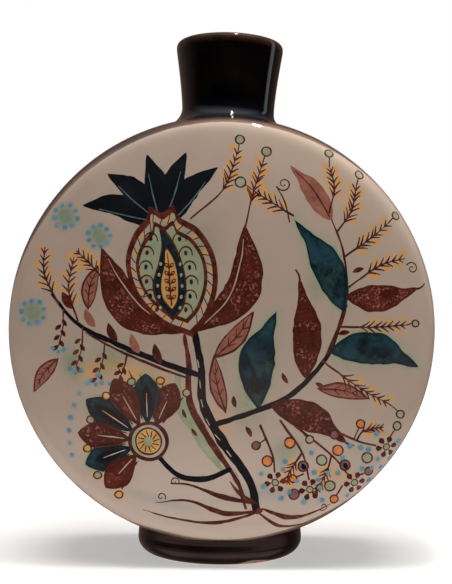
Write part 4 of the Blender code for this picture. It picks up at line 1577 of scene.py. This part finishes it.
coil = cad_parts["seam_coil"]
coil_mat = clay
if coil.material_slots:
    for s in coil.material_slots:
        s.material = coil_mat
else:
    coil.data.materials.append(coil_mat)

# --------------------------------------------------------- floor, light, camera
floor = build_mesh("studio_floor", [(-9, -9, 0), (9, -9, 0), (9, 9, 0), (-9, 9, 0)],
                   [(0, 1, 2, 3)])
floor.location.z = -0.00005
floor.data.materials.append(pale_floor())

scene = bpy.context.scene
scene.view_settings.view_transform = "Standard"
scene.view_settings.look = "None"
scene.view_settings.exposure = 0.0

world = bpy.data.worlds.new("studio")
world.use_nodes = True
scene.world = world
wt = world.node_tree
for node in list(wt.nodes):
    wt.nodes.remove(node)
out = wt.nodes.new("ShaderNodeOutputWorld")
path = wt.nodes.new("ShaderNodeLightPath")
look = wt.nodes.new("ShaderNodeTexCoord")
split = wt.nodes.new("ShaderNodeSeparateXYZ")
wt.links.new(look.outputs["Generated"], split.inputs[0])


def sky(value, low, high, to_low, to_high, smooth=True):
    """A step over one component of the direction looked at."""
    node = wt.nodes.new("ShaderNodeMapRange")
    node.interpolation_type = "SMOOTHSTEP" if smooth else "LINEAR"
    wt.links.new(value, node.inputs["Value"])
    for key, v in (("From Min", low), ("From Max", high), ("To Min", to_low),
                   ("To Max", to_high)):
        node.inputs[key].default_value = v
    return node.outputs["Result"]


def sky_math(op, a, b):
    node = wt.nodes.new("ShaderNodeMath")
    node.operation = op
    for i, v in enumerate((a, b)):
        if hasattr(v, "is_output"):
            wt.links.new(v, node.inputs[i])
        else:
            node.inputs[i].default_value = v
    return node.outputs[0]


def sky_curve(value, stops):
    """Radiance along one component of the direction, through given stops."""
    node = wt.nodes.new("ShaderNodeFloatCurve")
    wt.links.new(sky(value, -1.0, 1.0, 0.0, 1.0, False), node.inputs["Value"])
    curve = node.mapping.curves[0]
    for i, (at, level) in enumerate(stops):
        place = ((at + 1) / 2, level / 10)
        if i < 2:
            curve.points[i].location = place
        else:
            curve.points.new(*place)
    node.mapping.use_clip = False
    node.mapping.update()
    return sky_math("MULTIPLY", node.outputs["Value"], 10.0)


sx, sy, sz = split.outputs
# what the shining glaze sees: a dark room in front, a pale table close by,
# a dim ceiling, warm walls at the sides and behind
overhead = sky(sz, 0.50, 0.95, 0.0, 0.35)
ahead = sky(sy, 0.25, -0.25, 0.0, 1.0)
table = sky_curve(sz, [(-1.0, 0.12), (1.0, 0.0), (-0.90, 0.35), (-0.80, 0.80),
                       (-0.64, 0.80), (-0.50, 0.62), (-0.38, 0.25),
                       (-0.28, 0.12), (-0.21, 0.35), (-0.15, 0.55),
                       (-0.11, 0.30), (-0.06, 0.03), (0.0, 0.0)])
window = sky_curve(sz, [(-1.0, 0.0), (1.0, 0.9), (0.0, 0.0), (0.12, 0.02),
                        (0.24, 0.10), (0.40, 0.28), (0.60, 0.55), (0.85, 0.85)])
window = sky_math("MULTIPLY", window, sky(sx, -0.35, 0.35, 0.60, 0.85))
ahead = sky_math("MULTIPLY", ahead, path.outputs["Is Glossy Ray"])
table = sky_math("MULTIPLY", table, ahead)
window = sky_math("MULTIPLY", window, ahead)
round_back = sky_math("SUBTRACT", sy, sky_math("MULTIPLY", sx, 0.335))
round_back = sky_math("ADD", round_back, sky(sx, 0.0, 0.5, 0.0, 0.3))
walls = sky_math("MULTIPLY", sky(round_back, 0.03, 0.80, 0.0, 0.20, False),
                 sky(sz, 0.55, 0.85, 1.0, 0.0))
walls = sky_math("MULTIPLY", walls, sky(sx, 0.05, 0.45, 1.0, 0.55))
soft = wt.nodes.new("ShaderNodeBackground")
soft.inputs["Color"].default_value = (1.0, 0.96, 0.90, 1.0)
wt.links.new(overhead, soft.inputs["Strength"])
warm = wt.nodes.new("ShaderNodeBackground")
warm.inputs["Color"].default_value = (1.0, 0.66, 0.58, 1.0)
wt.links.new(sky_math("ADD", walls, table), warm.inputs["Strength"])
cool = wt.nodes.new("ShaderNodeBackground")
cool.inputs["Color"].default_value = (0.90, 0.93, 1.0, 1.0)
wt.links.new(window, cool.inputs["Strength"])
both = wt.nodes.new("ShaderNodeAddShader")
wt.links.new(soft.outputs[0], both.inputs[0])
wt.links.new(warm.outputs[0], both.inputs[1])
room = wt.nodes.new("ShaderNodeAddShader")
wt.links.new(both.outputs[0], room.inputs[0])
wt.links.new(cool.outputs[0], room.inputs[1])
plain = wt.nodes.new("ShaderNodeBackground")
plain.inputs["Color"].default_value = (1.0, 1.0, 1.0, 1.0)
plain.inputs["Strength"].default_value = 1.0
blend = wt.nodes.new("ShaderNodeMixShader")
wt.links.new(path.outputs["Is Camera Ray"], blend.inputs[0])
wt.links.new(room.outputs[0], blend.inputs[1])
wt.links.new(plain.outputs[0], blend.inputs[2])
wt.links.new(blend.outputs[0], out.inputs["Surface"])

AIM = Vector((0.0, 0.0, 0.12))


def area(name, azimuth, elevation, distance, size, size_y, watts, colour,
         shape="RECTANGLE", aim=AIM):
    """A light panel. Azimuth 0 is in front of the vase, 90 to its right."""
    data = bpy.data.lights.new(name, "AREA")
    data.shape = shape
    data.size, data.size_y = size, size_y
    data.energy = watts
    data.color = colour
    obj = bpy.data.objects.new(name, data)
    a, e = math.radians(azimuth), math.radians(elevation)
    way = Vector((math.sin(a) * math.cos(e), -math.cos(a) * math.cos(e),
                  math.sin(e)))
    obj.location = aim + way * distance
    obj.rotation_mode = "QUATERNION"
    obj.rotation_quaternion = way.to_track_quat("Z", "Y")
    obj.visible_camera = False
    scene.collection.objects.link(obj)
    return obj


lamp = area("lamp", 34.0, 74.4, 1.60, 0.046, 0.70, 8.6, (1.0, 0.95, 0.88), "ELLIPSE",
            Vector((0.0126, -0.024, 0.1845)))
lamp.visible_diffuse = False
# the long lamp lies along the line from front to back
way = lamp.rotation_quaternion @ Vector((0, 0, 1))
across = Vector((0.0, -0.983, -0.183)).cross(way).normalized()
lamp.rotation_quaternion = Matrix((across, way.cross(across),
                                   way)).transposed().to_quaternion()
area("strip_right", 106, 17, 1.5, 0.30, 1.05, 0.95, (0.80, 0.97, 1.0))


def near_light(name, place, aim, size, size_y, watts, colour):
    """A soft light close to the vase that leaves no reflection."""
    obj = area(name, 0, 0, 1, size, size_y, watts, colour)
    obj.location = place
    way = (Vector(place) - Vector(aim)).normalized()
    obj.rotation_quaternion = way.to_track_quat("Z", "Y")
    obj.visible_glossy = False
    return obj


near_light("top_soft", (0.065, -0.058, 0.40), (0.0, -0.03, 0.14), 0.08, 0.05,
           0.80, (1.0, 0.98, 0.95))
near_light("table_soft", (-0.006, -0.085, 0.004), (-0.004, -0.03, 0.05), 0.12, 0.02,
           0.022, (1.0, 0.98, 0.97))


def far_light(name, azimuth, elevation, angle, strength, colour):
    """An even light from one side that leaves no reflection."""
    data = bpy.data.lights.new(name, "SUN")
    data.angle = math.radians(angle)
    data.energy = strength
    data.color = colour
    obj = bpy.data.objects.new(name, data)
    a, e = math.radians(azimuth), math.radians(elevation)
    obj.rotation_mode = "QUATERNION"
    obj.rotation_quaternion = Vector((math.sin(a) * math.cos(e),
                                      -math.cos(a) * math.cos(e),
                                      math.sin(e))).to_track_quat("Z", "Y")
    obj.visible_glossy = False
    scene.collection.objects.link(obj)


far_light("overhead", 12, 89, 40, 2.85, (1.0, 0.985, 0.965))
far_light("right_fill", 88, 26, 30, 0.28, (1.0, 0.97, 0.92))
far_light("left_fill", -88, 5, 30, 0.16, (1.0, 0.93, 0.86))
floor.visible_glossy = False

camera_data = bpy.data.cameras.new("camera")
camera_data.sensor_fit = "AUTO"
camera_data.sensor_width = 36.0
camera_data.lens = 36.0 * 940 / 584
camera_data.clip_start = 0.01
camera = bpy.data.objects.new("camera", camera_data)
PX = 0.4365 * MM
camera.location = (3.7 * PX, -940 * PX, CENTRE_Z + 35.56 * PX)
camera.rotation_euler = (Matrix.Rotation(math.pi / 2, 3, "X")
                         @ Matrix.Rotation(0.0105, 3, "Z")).to_euler()
scene.collection.objects.link(camera)
scene.camera = camera
